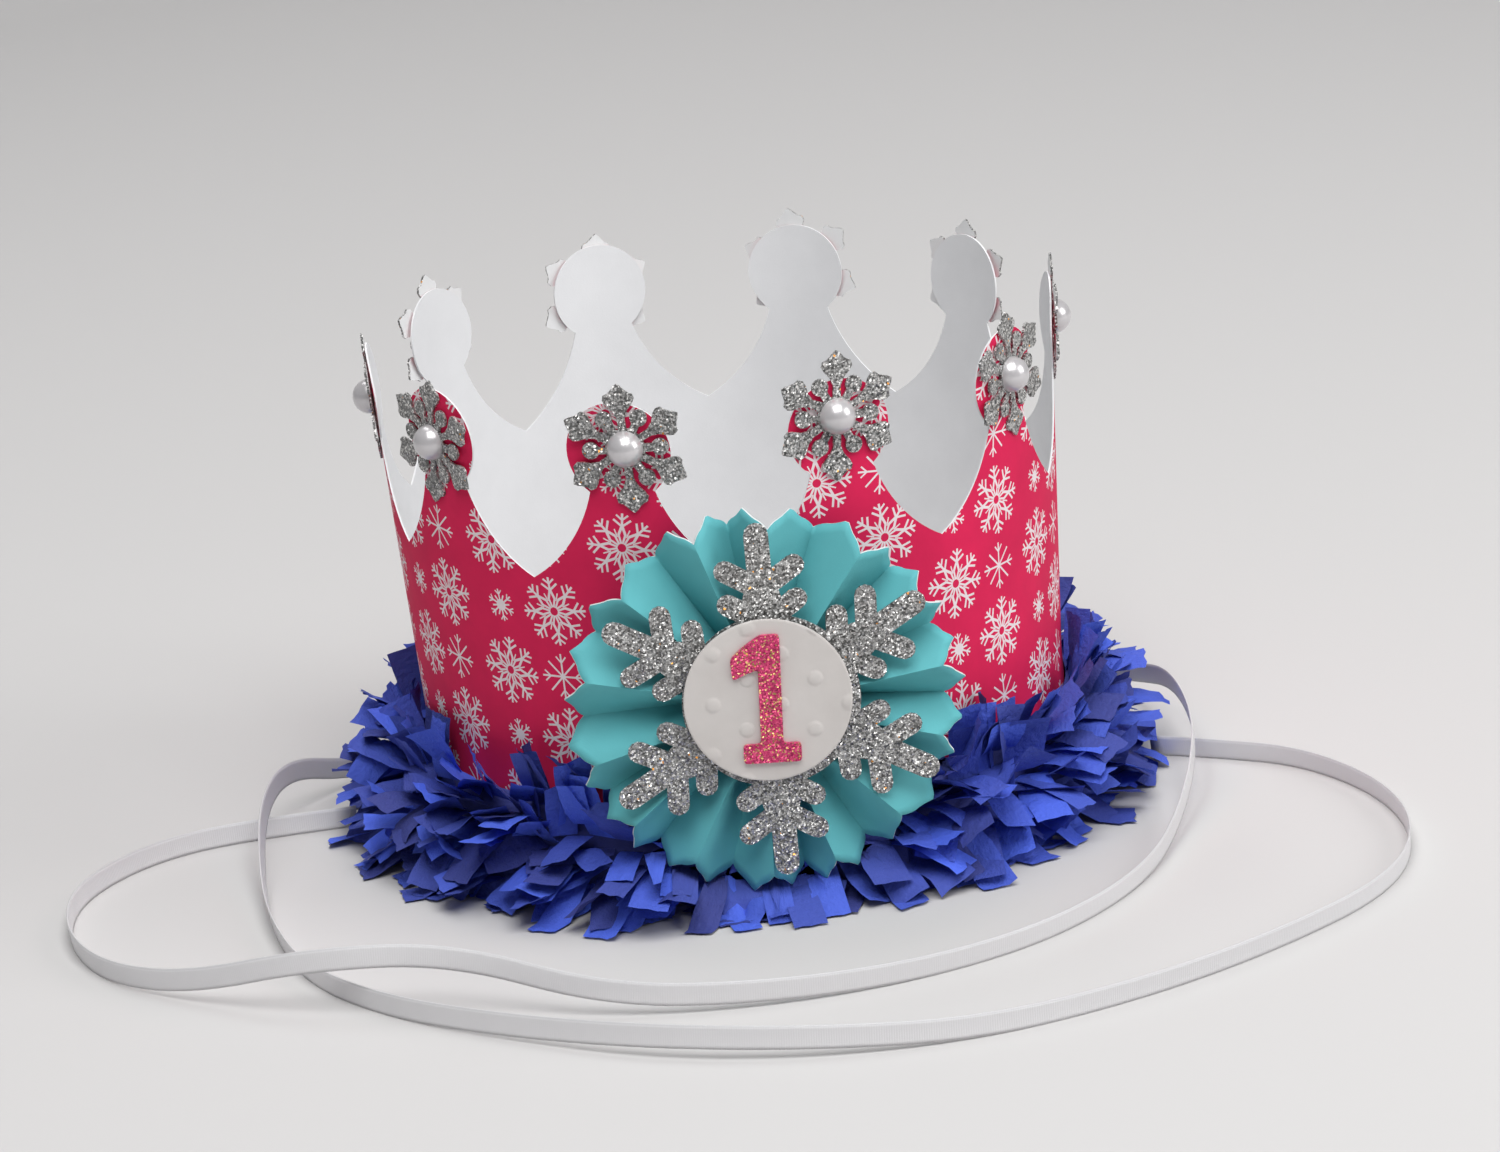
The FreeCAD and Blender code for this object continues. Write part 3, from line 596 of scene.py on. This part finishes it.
def tissueTabs():
    # every tab is a grid: it leaves the strip at its own angle, bends as it goes, and is creased
    # by folds that are each the distance from a line
    rows, perRow = fringe["rows"], fringe["perRow"]
    count = rows * perRow
    row = np.repeat(np.arange(rows), perRow)
    k = np.tile(np.arange(perRow), rows)
    clump = 0.25 * np.sin(k * 0.9 + row * 1.7) + 0.15 * np.sin(k * 0.37 - row)
    upright = row > 0.6 * (rows - 1)
    upright &= (np.sin(k * 0.55 + 1.3) + 0.6 * np.sin(k * 1.43) > 0.55)
    angle = (k + 0.5 * (row % 2) + dice.uniform(-0.45, 0.45, count)) / perRow * 2 * np.pi
    share = row / (rows - 1)
    root = fringe["bottom"] + (fringe["top"] - fringe["bottom"]) * share
    rise = np.radians(fringe["lowestRise"] + fringe["riseGain"] * share ** 1.1
                      + dice.normal(0, fringe["riseSpread"], count) + 24 * clump)
    yaw = np.radians(dice.normal(0, fringe["yawSpread"], count) + 30 * clump)
    curl = np.radians(dice.normal(fringe["curl"], fringe["curlSpread"], count))
    twist = np.radians(dice.normal(0, fringe["twistSpread"], count))
    rise = np.where(upright, np.radians(dice.uniform(*fringe["uprightRise"], count)), rise)
    rise -= np.radians(fringe["rightDroop"]) * np.clip(np.sin(angle), 0, 1) * (share < 0.75)
    length = fringe["length"] * dice.uniform(*fringe["lengths"], count) * (1.06 - 0.2 * share ** 3)
    width = fringe["width"] * dice.uniform(*fringe["widths"], count)
    steps, across = fringe["steps"], fringe["across"]
    a = np.linspace(0, 1, steps + 1)[None, :, None]
    b = np.linspace(-0.5, 0.5, across + 1)[None, None, :]

    def each(values):
        return values[:, None, None]

    out = np.stack([np.sin(angle), -np.cos(angle), 0 * angle], 1)
    side = np.stack([np.cos(angle), np.sin(angle), 0 * angle], 1)
    heading = out * np.cos(yaw)[:, None] + side * np.sin(yaw)[:, None]
    sideways = side * np.cos(yaw)[:, None] - out * np.sin(yaw)[:, None]
    lift = each(rise) + each(curl) * a
    run = np.cumsum(np.cos(lift), axis=1) - np.cos(lift[:, :1])
    climb = np.cumsum(np.sin(lift), axis=1) - np.sin(lift[:, :1])
    step = each(length) / steps
    loose = dice.uniform(0, fringe["rootLoose"], count) * (1 - 0.6 * share)
    start = out * (fringe["rootRadius"] + loose)[:, None]
    start[:, 2] = root
    roll = each(twist) * (0.3 + 0.9 * a)
    crease = np.zeros((count, steps + 1, across + 1))
    for _ in range(fringe["folds"]):
        way = dice.uniform(-1.2, 1.2, count)
        mid = dice.uniform(-0.3, 0.9, count)
        size = dice.normal(0, fringe["foldSpread"], count)
        crease += each(size) * np.abs(b * each(np.cos(way)) * 1.2 + (a - each(mid)) * each(np.sin(way)) * 2)
    crease += 0.14 * np.sin(a * 17 + each(dice.uniform(0, 6, count))) * np.sin(b * 9 + each(
        dice.uniform(0, 6, count)))
    crease *= np.minimum(a * 3, 1)
    spread = b * each(width) * (0.86 + 0.16 * np.minimum(a * 2, 1))
    # the face's normal is square to both the way along and the way across
    upward = np.array([0, 0, 1.0])
    heading, sideways = heading[:, None, None, :], sideways[:, None, None, :]
    normal = -np.sin(lift)[..., None] * heading + np.cos(lift)[..., None] * upward
    sideAt = np.cos(roll)[..., None] * sideways + np.sin(roll)[..., None] * normal
    normalAt = np.cos(roll)[..., None] * normal - np.sin(roll)[..., None] * sideways
    ragged = 0.3 * np.sin(b * 14 + each(dice.uniform(0, 6, count))) * (a > 0.99)
    centre = (start[:, None, None, :] + (run * step + ragged)[..., None] * heading
              + (climb * step)[..., None] * upward)
    points = centre + spread[..., None] * sideAt + crease[..., None] * normalAt
    # nothing goes through the floor, the card or the rosette
    x, y, z = points[..., 0], points[..., 1], points[..., 2]
    sunk = np.minimum(z - fringe["floorFrom"], 0)
    z = np.where(sunk < 0, 0.35 + 0.5 * (1 - np.exp(sunk / 6)) + 0.35 * np.exp(sunk), z)
    radius = np.hypot(x, y)
    least = cardRadius(z) + fringe["cardGap"] + 0.9 * a
    push = np.maximum(least / radius, 1)
    x, y = x * push, y * push
    spot = rosetteSpot
    near = np.hypot(x - spot["across"], z - spot["height"]) < spot["radius"]
    y = np.where(near, np.maximum(y, spot["back"]), y)
    points = np.stack([x, y, z], -1)
    # painted shade and light: each tab takes a tone at random, from a shaded blue at 0 to a lit blue at 1
    paintedShadeTone = np.repeat(dice.uniform(0, 1, count), (steps + 1) * (across + 1))
    faces = gridFaces(steps + 1, across + 1)
    faces = (faces[None] + (np.arange(count) * (steps + 1) * (across + 1))[:, None, None]).reshape(-1, 4)
    uv = np.stack(np.broadcast_arrays(a * 3.0 + each(dice.uniform(0, 9, count)), b + 0.5), -1)
    return points.reshape(-1, 3), faces, paintedShadeTone, uv.reshape(-1, 2)


def tissueFinish():
    finish = Finish("royalTissue", (0.035, 0.045, 0.42), 0.6, Specular_IOR_Level=0.15)
    paintedShadeTone = finish.node("Attribute", attribute_name="paintedShadeTone").outputs["Fac"]
    # painted shade and light: the tone runs from a shaded blue to a lit blue
    shade = finish.ramp(paintedShadeTone, 0.0, 1.0, ((0.054, 0.066, 0.26), (0.094, 0.170, 0.84)))
    finish.put("Base Color", shade)
    uv = finish.node("TexCoord").outputs["UV"]
    wrinkle = finish.noise(2.2, 5.0, 0.65, at=uv, stretch=(1.4, 2.0, 1.0))
    finish.bump(wrinkle, 0.0009, 0.8)
    return finish.material


def addFringe():
    points, faces, paintedShadeTone, uv = tissueTabs()
    tabs = addMesh("tissue_tabs", points, faces, [tissueFinish()])
    addValue(tabs, "paintedShadeTone", paintedShadeTone)
    addUv(tabs, uv)
    # the folded strip that the tabs are cut from, in the dark behind them
    turns = np.linspace(0, 2 * np.pi, fringe["stripSides"], endpoint=False)
    heights, radii = np.array(fringe["strip"]).T
    ring = np.stack(np.broadcast_arrays(radii[:, None] * np.sin(turns), -radii[:, None] * np.cos(turns),
                                        heights[:, None]), -1).reshape(-1, 3)
    strip = addMesh("tissue_strip", ring, gridFaces(len(heights), len(turns), closed=True),
                    [tabs.data.materials[0]])
    # painted shade: the strip takes tone 0, the shaded blue
    addValue(strip, "paintedShadeTone", np.zeros(len(ring)))
    addUv(strip, ring[:, [0, 2]] * 0.1)
    for piece in (tabs, strip):
        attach(piece, "root")
        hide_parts("tissue_fringe")
    print("tissue fringe cut,", len(faces), "faces")


addFringe()


# rosette

rosette = {"hub": 8.6, "rim": 7.0, "hole": 3.0, "dip": 39.0, "tip": 43.3, "card": 0.4, "back": -76.0,
           "across": 14, "out": 16, "sharpFrom": 32,
           "tips": [101.6, 113.6, 128.6, 144.8, 159.2, 173.6, 188.0, 200.9, 212.5, 224.1, 235.8, 247.8,
                    261.9, 272.8, 283.0, 293.0, 305.2, 322.4, 338.0, 348.5, 360.8, 372.8, 384.0, 395.3,
                    406.5, 420.5, 437.3, 451.0]}


def rosettePanels():
    # a panel runs from fold to fold and from the hole to its petal's edge. Its height goes from a
    # front fold down to a back fold, in a curve that is flat at neither.
    tips = np.radians(np.array(rosette["tips"]))
    after = np.append(tips[1:], tips[0] + 2 * np.pi)
    folds = (tips + after) / 2          # fold i lies between petal i and the next
    before = np.roll(folds, 1)
    before[0] -= 2 * np.pi
    across, out = rosette["across"], rosette["out"]
    u = np.linspace(0, 1, across + 1)[None, :, None]
    v = np.linspace(0, 1, out + 1)[None, None, :]
    i = np.arange(len(tips))[:, None, None]
    angle = before[:, None, None] + (folds - before)[:, None, None] * u
    place = ((tips - before) / (folds - before))[:, None, None]
    # the petal's edge: round shoulders that rise to a small point at the petal's tip
    away = np.where(u < place, (place - u) / place, (u - place) / (1 - place))
    shoulder = 1 - away ** 2.6
    point = np.maximum(0, 1 - away * 2.2) ** 1.4
    edge = rosette["dip"] + (rosette["tip"] - rosette["dip"]) * (0.56 * shoulder + 0.44 * point)
    edge = edge + 0.35 * np.sin(i * 2.3) * shoulder
    radius = rosette["hole"] + (edge - rosette["hole"]) * v
    depth = rosette["hub"] + (rosette["rim"] - rosette["hub"]) * v
    depth = depth * (1 + 0.1 * ((1 - u) * np.sin((i - 1) % len(tips) * 1.7) + u * np.sin(i * 1.7)) * v)
    rising = np.where(i % 2 == 0, 2 * u - 1, 1 - 2 * u)      # +1 at a front fold
    bend = rising + 0.1 * np.sin(np.pi * rising) * np.sin(i * 1.1 + 2)
    height = depth / 2 * bend
    middle = rosette["back"] - rosette["hub"] / 2
    x = rosetteSpot["across"] + radius * np.cos(angle)
    z = rosetteSpot["height"] + radius * np.sin(angle)
    y = middle - height
    points = np.stack(np.broadcast_arrays(x, y, z), -1)
    size = (across + 1) * (out + 1)
    faces = gridFaces(across + 1, out + 1)
    faces = (faces[None] + (np.arange(len(tips)) * size)[:, None, None]).reshape(-1, 4)
    return points.reshape(-1, 3), faces


def weld(thing, distance):
    work = bmesh.new()
    work.from_mesh(thing.data)
    bmesh.ops.remove_doubles(work, verts=work.verts, dist=distance)
    bmesh.ops.recalc_face_normals(work, faces=work.faces)
    work.to_mesh(thing.data)
    work.free()


def addRosette():
    teal = paperFinish("tealCard", (0.13, 0.475, 0.51), 0.62, 0.03)
    edge = paperFinish("tealCardEdge", (0.72, 0.78, 0.78), 0.8, 0.02)
    points, faces = rosettePanels()
    petals = addMesh("rosette_petals", points, faces, [teal, edge])
    weld(petals, 1e-5)
    # folds stay sharp
    petals.data.set_sharp_from_angle(angle=math.radians(rosette["sharpFrom"]))
    wall = petals.modifiers.new("card", "SOLIDIFY")
    wall.thickness = rosette["card"] * mm
    wall.offset = 0
    wall.material_offset_rim = 1
    wall.use_even_offset = True
    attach(petals, "root")
    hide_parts("rosette")
    cover("rosette_backing", teal)


addRosette()
print("rosette folded")


# flat cut shapes: snowflake, numeral

def plate(name, border, thick, place, slots):
    # a cut sheet: the rings of its border are filled and raised by its thickness. place takes flat
    # points, with a height above the sheet's back, to the crown. The fill's corners and faces come
    # in an order that changes from run to run, so they are put in order of place.
    work = bmesh.new()
    for ring in border:
        loop = [work.verts.new((p[0], p[1], 0.0)) for p in ring]
        for a, b in zip(loop, loop[1:] + loop[:1]):
            work.edges.new((a, b))
    bmesh.ops.triangle_fill(work, edges=work.edges[:], use_beauty=True)
    raised = bmesh.ops.extrude_face_region(work, geom=work.faces[:])
    for item in raised["geom"]:
        if isinstance(item, bmesh.types.BMVert):
            item.co.z = thick
    bmesh.ops.recalc_face_normals(work, faces=work.faces[:])
    corners = sorted(work.verts, key=lambda corner: tuple(corner.co))
    numbers = {corner: k for k, corner in enumerate(corners)}
    points = place(np.array([tuple(corner.co) for corner in corners]))
    faces = [[numbers[corner] for corner in face.verts] for face in work.faces]
    work.free()
    faces = sorted(face[face.index(min(face)):] + face[:face.index(min(face))] for face in faces)
    thing = addMesh(name, points, faces, slots)
    thing.data.shade_flat()
    return thing


def bar(base, tip, half):
    # a round-ended bar
    base, tip = np.array(base, float), np.array(tip, float)
    way = (tip - base) / np.hypot(*(tip - base))
    turn = math.atan2(way[1], way[0])
    far = turn + np.linspace(-np.pi / 2, np.pi / 2, 7)
    near = turn + np.linspace(np.pi / 2, 3 * np.pi / 2, 7)
    return np.concatenate([tip + half * np.stack([np.cos(far), np.sin(far)], 1),
                           base + half * np.stack([np.cos(near), np.sin(near)], 1)])


def roundBorder(radius, sides, up=0.0):
    turns = np.linspace(0, 2 * np.pi, sides, endpoint=False)
    return radius * np.stack([np.cos(turns), np.sin(turns)], 1) + [0, up]


def spun(shape, degrees):
    turn = math.radians(degrees)
    return np.asarray(shape) @ np.array([[math.cos(turn), math.sin(turn)], [-math.sin(turn), math.cos(turn)]])


def facingFront(across, height, depth, turn=0.0):
    # flat places go to an upright sheet that faces the front, depth millimetres before the axis
    def place(points):
        flatPart = spun(points[:, :2], turn)
        return np.stack([across + flatPart[:, 0], -depth - points[:, 2], height + flatPart[:, 1]], 1)
    return place


# what lies on the rosette's hub, with each thickness from the back to the front
stack = {"hubFront": 84.9, "flake": 0.55, "foam": 1.45, "badge": 0.5, "numeral": 0.85}
badgeFront = stack["hubFront"] + stack["flake"] + stack["foam"] + stack["badge"]
silver = glitterFinish("silverGlitter", [(0.6, 0.6, 0.6), (0.13, 0.13, 0.125), (0.95, 0.94, 0.93),
                                         (1.0, 0.98, 0.95)], 0.4, 0.16, 0.5)
pink = glitterFinish("pinkGlitter", [(0.6, 0.05, 0.2), (0.62, 0.03, 0.15), (0.98, 0.16, 0.30),
                                     (0.85, 0.55, 0.20)], 0.3, 0.13, 0.3)

bigFlake = {"across": 3.4, "height": 49.2, "reach": 39.7, "ring": 19.2, "arm": 2.65, "core": 4.4,
            "coreReach": 26.5, "branch": 2.35, "branchAngle": 57, "branchLength": 8.8, "upper": 24.9,
            "lower": 17.4}


def bigFlakeShapes():
    shapes = [roundBorder(bigFlake["ring"], 96)]
    for k in range(6):
        arm = [bar((0, 0), (0, bigFlake["reach"] - bigFlake["arm"]), bigFlake["arm"]),
               bar((0, 0), (0, bigFlake["coreReach"] - bigFlake["core"]), bigFlake["core"])]
        for side in (-1, 1):
            lean = math.radians(bigFlake["branchAngle"]) * side
            for root in (bigFlake["upper"], bigFlake["lower"]):
                tip = (bigFlake["branchLength"] * math.sin(lean),
                       root + bigFlake["branchLength"] * math.cos(lean))
                arm.append(bar((0, root), tip, bigFlake["branch"]))
        shapes += [spun(piece, 60 * k) for piece in arm]
    return shapes


def addBigFlake():
    rings = [ring for ring, _ in ringsOf(bigFlakeShapes())]
    place = facingFront(bigFlake["across"], bigFlake["height"], stack["hubFront"])
    sheet = plate("silver_snowflake", rings, stack["flake"], place, [silver])
    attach(sheet, "root")
    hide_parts("glitter_snowflake")


addBigFlake()
print("snowflake cut")


# badge and numeral

badge = {"across": 2.6, "height": 50.0, "radius": 18.1, "dotPitch": 14.6, "dotRow": 5.65, "dotRadius": 1.65,
         "dotHeight": 0.22, "dotTurn": 5.0, "firstDot": (2.69, -1.13), "rings": 70, "sides": 240, "lip": 0.12}


def addBadge():
    # a disc of rings; the front is pushed out in round dots on a staggered lattice
    radii = np.append(np.linspace(0.15, badge["radius"] - 0.25, badge["rings"]), badge["radius"])
    turns = np.linspace(0, 2 * np.pi, badge["sides"], endpoint=False)
    r, t = np.meshgrid(radii, turns, indexing="ij")
    x, z = r * np.cos(t), r * np.sin(t)
    turn = math.radians(badge["dotTurn"])
    fromX, fromZ = x - badge["firstDot"][0], z - badge["firstDot"][1]
    along = fromX * math.cos(turn) - fromZ * math.sin(turn)
    up = fromX * math.sin(turn) + fromZ * math.cos(turn)
    row = np.round(up / badge["dotRow"])
    shift = np.where(row % 2 == 0, 0.0, badge["dotPitch"] / 2)
    dx = (along - shift + badge["dotPitch"] / 2) % badge["dotPitch"] - badge["dotPitch"] / 2
    dz = up - row * badge["dotRow"]
    away = np.hypot(dx, dz) / badge["dotRadius"]
    rise = badge["dotHeight"] * np.clip(1 - away ** 2, 0, 1) ** 0.5 * (away < 1)
    y = -(badgeFront + rise)
    y[-1] += badge["lip"]
    face = np.stack([badge["across"] + x, y, badge["height"] + z], -1).reshape(-1, 3)
    hind = np.stack([badge["across"] + x[-1], np.full(len(turns), -(badgeFront - stack["badge"])),
                     badge["height"] + z[-1]], -1)
    points = np.concatenate([face, hind])
    faces = gridFaces(len(radii) + 1, len(turns), closed=True).tolist()
    faces += [list(range(len(turns)))[::-1], list(range(len(face), len(points)))]
    pearl = Finish("pearlCard", (0.66, 0.62, 0.60), 0.42, Coat_Weight=0.35, Coat_Roughness=0.35)
    cloud = pearl.noise(90.0, 4.0, 0.6)
    pearl.put("Base Color", pearl.ramp(cloud, 0.3, 0.7, ((0.62, 0.585, 0.56), (0.68, 0.645, 0.62))))
    disc = addMesh("pearl_badge", points, faces, [pearl.material])
    weld(disc, 1e-6)
    disc.data.set_sharp_from_angle(angle=math.radians(50))
    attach(disc, "root")
    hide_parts("badge_disc")
    cover("badge_foam_pad", paperFinish("whiteFoam", (0.8, 0.8, 0.8), 0.9, 0.02))


addBadge()

numeral = {"across": 3.1, "height": 50.5, "tall": 28.6, "stem": 4.8, "foot": 12.4, "footTall": 4.2,
           "turn": 2.9, "round": 0.9}


def roundedCorners(corners, radius):
    # each corner gives way to a short curve that starts and ends at the radius from it
    corners = np.array(corners, float)
    rounded = []
    for before, corner, after in zip(np.roll(corners, 1, 0), corners, np.roll(corners, -1, 0)):
        back, on = before - corner, after - corner
        reach = min(radius, np.hypot(*back) * 0.45, np.hypot(*on) * 0.45)
        first = corner + back / np.hypot(*back) * reach
        last = corner + on / np.hypot(*on) * reach
        t = np.linspace(0, 1, 6)[:, None]
        rounded.append((1 - t) ** 2 * first + 2 * t * (1 - t) * corner + t ** 2 * last)
    return np.concatenate(rounded)


def addNumeral():
    tall, half, foot, low = numeral["tall"], numeral["stem"] / 2, numeral["foot"] / 2, numeral["footTall"]
    corners = [(-foot, -tall / 2), (foot, -tall / 2), (foot, low - tall / 2), (half, low - tall / 2),
               (half, tall / 2), (-half + 0.6, tall / 2), (-half - 3.2, tall / 2 - 2.6),
               (-half - 5.9, tall * 0.32), (-half - 5.5, tall * 0.157), (-half - 2.6, tall * 0.205),
               (-half, tall * 0.235), (-half, low - tall / 2), (-foot, low - tall / 2)]
    place = facingFront(numeral["across"], numeral["height"], badgeFront, -numeral["turn"])
    figure = plate("numeral_figure", [roundedCorners(corners, numeral["round"])], stack["numeral"], place,
                   [pink])
    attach(figure, "root")
    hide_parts("numeral_one")


addNumeral()
print("badge and numeral set")


# small flakes and half pearls

# settling is how each one has shifted along and up from its head, and its turn
smallFlake = {"reach": 14.5, "kite": 3.5, "short": 9.6, "bud": 1.9, "stem": 0.9, "hub": 4.4, "thick": 0.55,
              "glue": 0.1,
              "settling": [(-0.6, 3.3, 4), (1.2, 0.6, -6), (-0.8, 1.4, 5), (0.6, 0.4, -3), (-0.9, 0.9, 8),
                           (0.7, -0.5, -7), (0.4, 0.8, 3), (0.8, -0.6, -4), (-1.6, -1.0, 9), (2.0, 1.1, -2)]}


def smallFlakeShapes():
    reach, kite, stem = smallFlake["reach"], smallFlake["kite"], smallFlake["stem"]
    budAt = smallFlake["short"] - smallFlake["bud"]
    shapes = [roundBorder(smallFlake["hub"], 24)]
    side = [(0.85, 6.8), (1.6, 8.5), (2.9, 9.9), (kite, 11.0), (kite - 0.3, 12.1), (2.3, 12.4), (1.5, 13.1),
            (0.8, 13.9)]
    head = [(stem, 0)] + side + [(0, reach)] + [(-x, y) for x, y in side[::-1]] + [(-stem, 0)]
    for k in range(6):
        shapes.append(spun(head, 60 * k))
        shapes.append(spun(bar((0, 0), (0, budAt), stem), 60 * k + 30))
        shapes.append(spun(roundBorder(smallFlake["bud"], 16, budAt), 60 * k + 30))
    return shapes


def onCard(angle, height, turn, lift):
    # flat places go to a plane that touches the card, with local up along the card's slope
    lean = math.radians(band["flare"])
    out = np.array([math.sin(angle) * math.cos(lean), -math.cos(angle) * math.cos(lean), -math.sin(lean)])
    side = np.array([math.cos(angle), math.sin(angle), 0])
    up = np.cross(out, side)
    radius = float(cardRadius(np.array(height)))
    foot = np.array([radius * math.sin(angle), -radius * math.cos(angle), height])

    def place(points):
        flatPart = spun(points[:, :2], -turn)
        return foot + flatPart[:, :1] * side + flatPart[:, 1:2] * up + (points[:, 2:3] + lift) * out
    return place


pearl = {"radius": 4.0, "rings": 14, "sides": 40}


def halfBall():
    # rings of points from the flat back to the crown, then the crown and the back's own face
    rise = np.linspace(0, np.pi / 2, pearl["rings"])[:-1]
    turns = np.linspace(0, 2 * np.pi, pearl["sides"], endpoint=False)
    r, t = np.meshgrid(rise, turns, indexing="ij")
    ball = np.stack([np.cos(r) * np.cos(t), np.cos(r) * np.sin(t), np.sin(r)], -1)
    points = np.concatenate([ball.reshape(-1, 3) * pearl["radius"], [[0, 0, pearl["radius"]]]])
    faces = gridFaces(len(rise), len(turns), closed=True).tolist()
    last = (len(rise) - 1) * len(turns)
    faces += [[last + k, last + (k + 1) % len(turns), len(points) - 1] for k in range(len(turns))]
    faces += [list(range(len(turns)))[::-1]]
    return points, faces


def addLobePieces():
    gloss = Finish("pearlCoat", (0.64, 0.62, 0.63), 0.28, Metallic=0.35, Coat_Weight=0.8, Coat_Roughness=0.06)
    rings = [ring for ring, _ in ringsOf(smallFlakeShapes())]
    back = paperFinish("flakeBack", (0.80, 0.80, 0.80), 0.8, 0.02)
    dome, quads = halfBall()
    glue, thick = smallFlake["glue"], smallFlake["thick"]
    domes, domeFaces, base = [], [], 0
    for k, (along, up, turn) in enumerate(smallFlake["settling"]):
        height = band["headHeight"] + up
        angle = math.radians(18 + 36 * k) + along / float(cardRadius(np.array(height)))
        sheet = plate("small_flake_%02d" % (k + 1), rings, thick, onCard(angle, height, turn, glue),
                      [silver, back])
        # the side that faces the crown is plain card
        out = Vector((math.sin(angle), -math.cos(angle), 0))
        slots = [1 if face.normal.dot(out) < -0.5 else 0 for face in sheet.data.polygons]
        sheet.data.polygons.foreach_set("material_index", slots)
        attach(sheet, "root")
        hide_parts("glitter_flake_%02d" % (k + 1))
        domes.append(onCard(angle, height, turn, glue + thick)(dome))
        domeFaces += [[c + base for c in face] for face in quads]
        base += len(dome)
    beads = addMesh("pearl_domes", np.concatenate(domes), domeFaces, [gloss.material])
    beads.data.set_sharp_from_angle(angle=math.radians(60))
    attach(beads, "root")
    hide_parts("half_pearls")


addLobePieces()
print("flakes and pearls glued")


# floor, light

stage = {"reach": 3.0, "back": 1.1, "bend": 0.5, "tall": 2.2}


def addFloor():
    # a flat floor that turns up behind in a quarter round
    y = [-stage["reach"], stage["back"]]
    z = [0.0, 0.0]
    for step in range(1, 13):
        turn = step / 12 * math.pi / 2
        y.append(stage["back"] + stage["bend"] * math.sin(turn))
        z.append(stage["bend"] * (1 - math.cos(turn)))
    y.append(y[-1])
    z.append(stage["tall"])
    rows = np.array([[(x, b, c) for x in (-stage["reach"], stage["reach"])] for b, c in zip(y, z)])
    finish = Finish("paleFloor", (0.585, 0.575, 0.57), 0.9, Specular_IOR_Level=0.1)
    floor = addMesh("floor", rows.reshape(-1, 3) / mm, gridFaces(len(y), 2), [finish.material])


def addLight(name, at, aim, size, power):
    lamp = bpy.data.lights.new(name, "AREA")
    lamp.size, lamp.energy = size, power
    thing = bpy.data.objects.new(name, lamp)
    thing.location = at
    thing.rotation_euler = (Vector(aim) - Vector(at)).to_track_quat("-Z", "Y").to_euler()
    bpy.context.scene.collection.objects.link(thing)


addFloor()
addLight("ceiling", (0.1, -0.75, 1.55), (0, 0, 0.03), 1.3, 27)
addLight("windowRight", (1.3, -0.45, 0.7), (0, 0, 0.05), 0.8, 9)
addLight("roomBehind", (-0.2, 0.7, 1.4), (0, 0.2, 0), 0.9, 7)
world = bpy.data.worlds.new("softRoom")
world.use_nodes = True
world.node_tree.nodes["Background"].inputs["Color"].default_value = (0.93, 0.95, 1.0, 1)
world.node_tree.nodes["Background"].inputs["Strength"].default_value = 0.17
bpy.context.scene.world = world
bpy.context.scene.view_settings.view_transform = "Standard"
print("floor and light set")
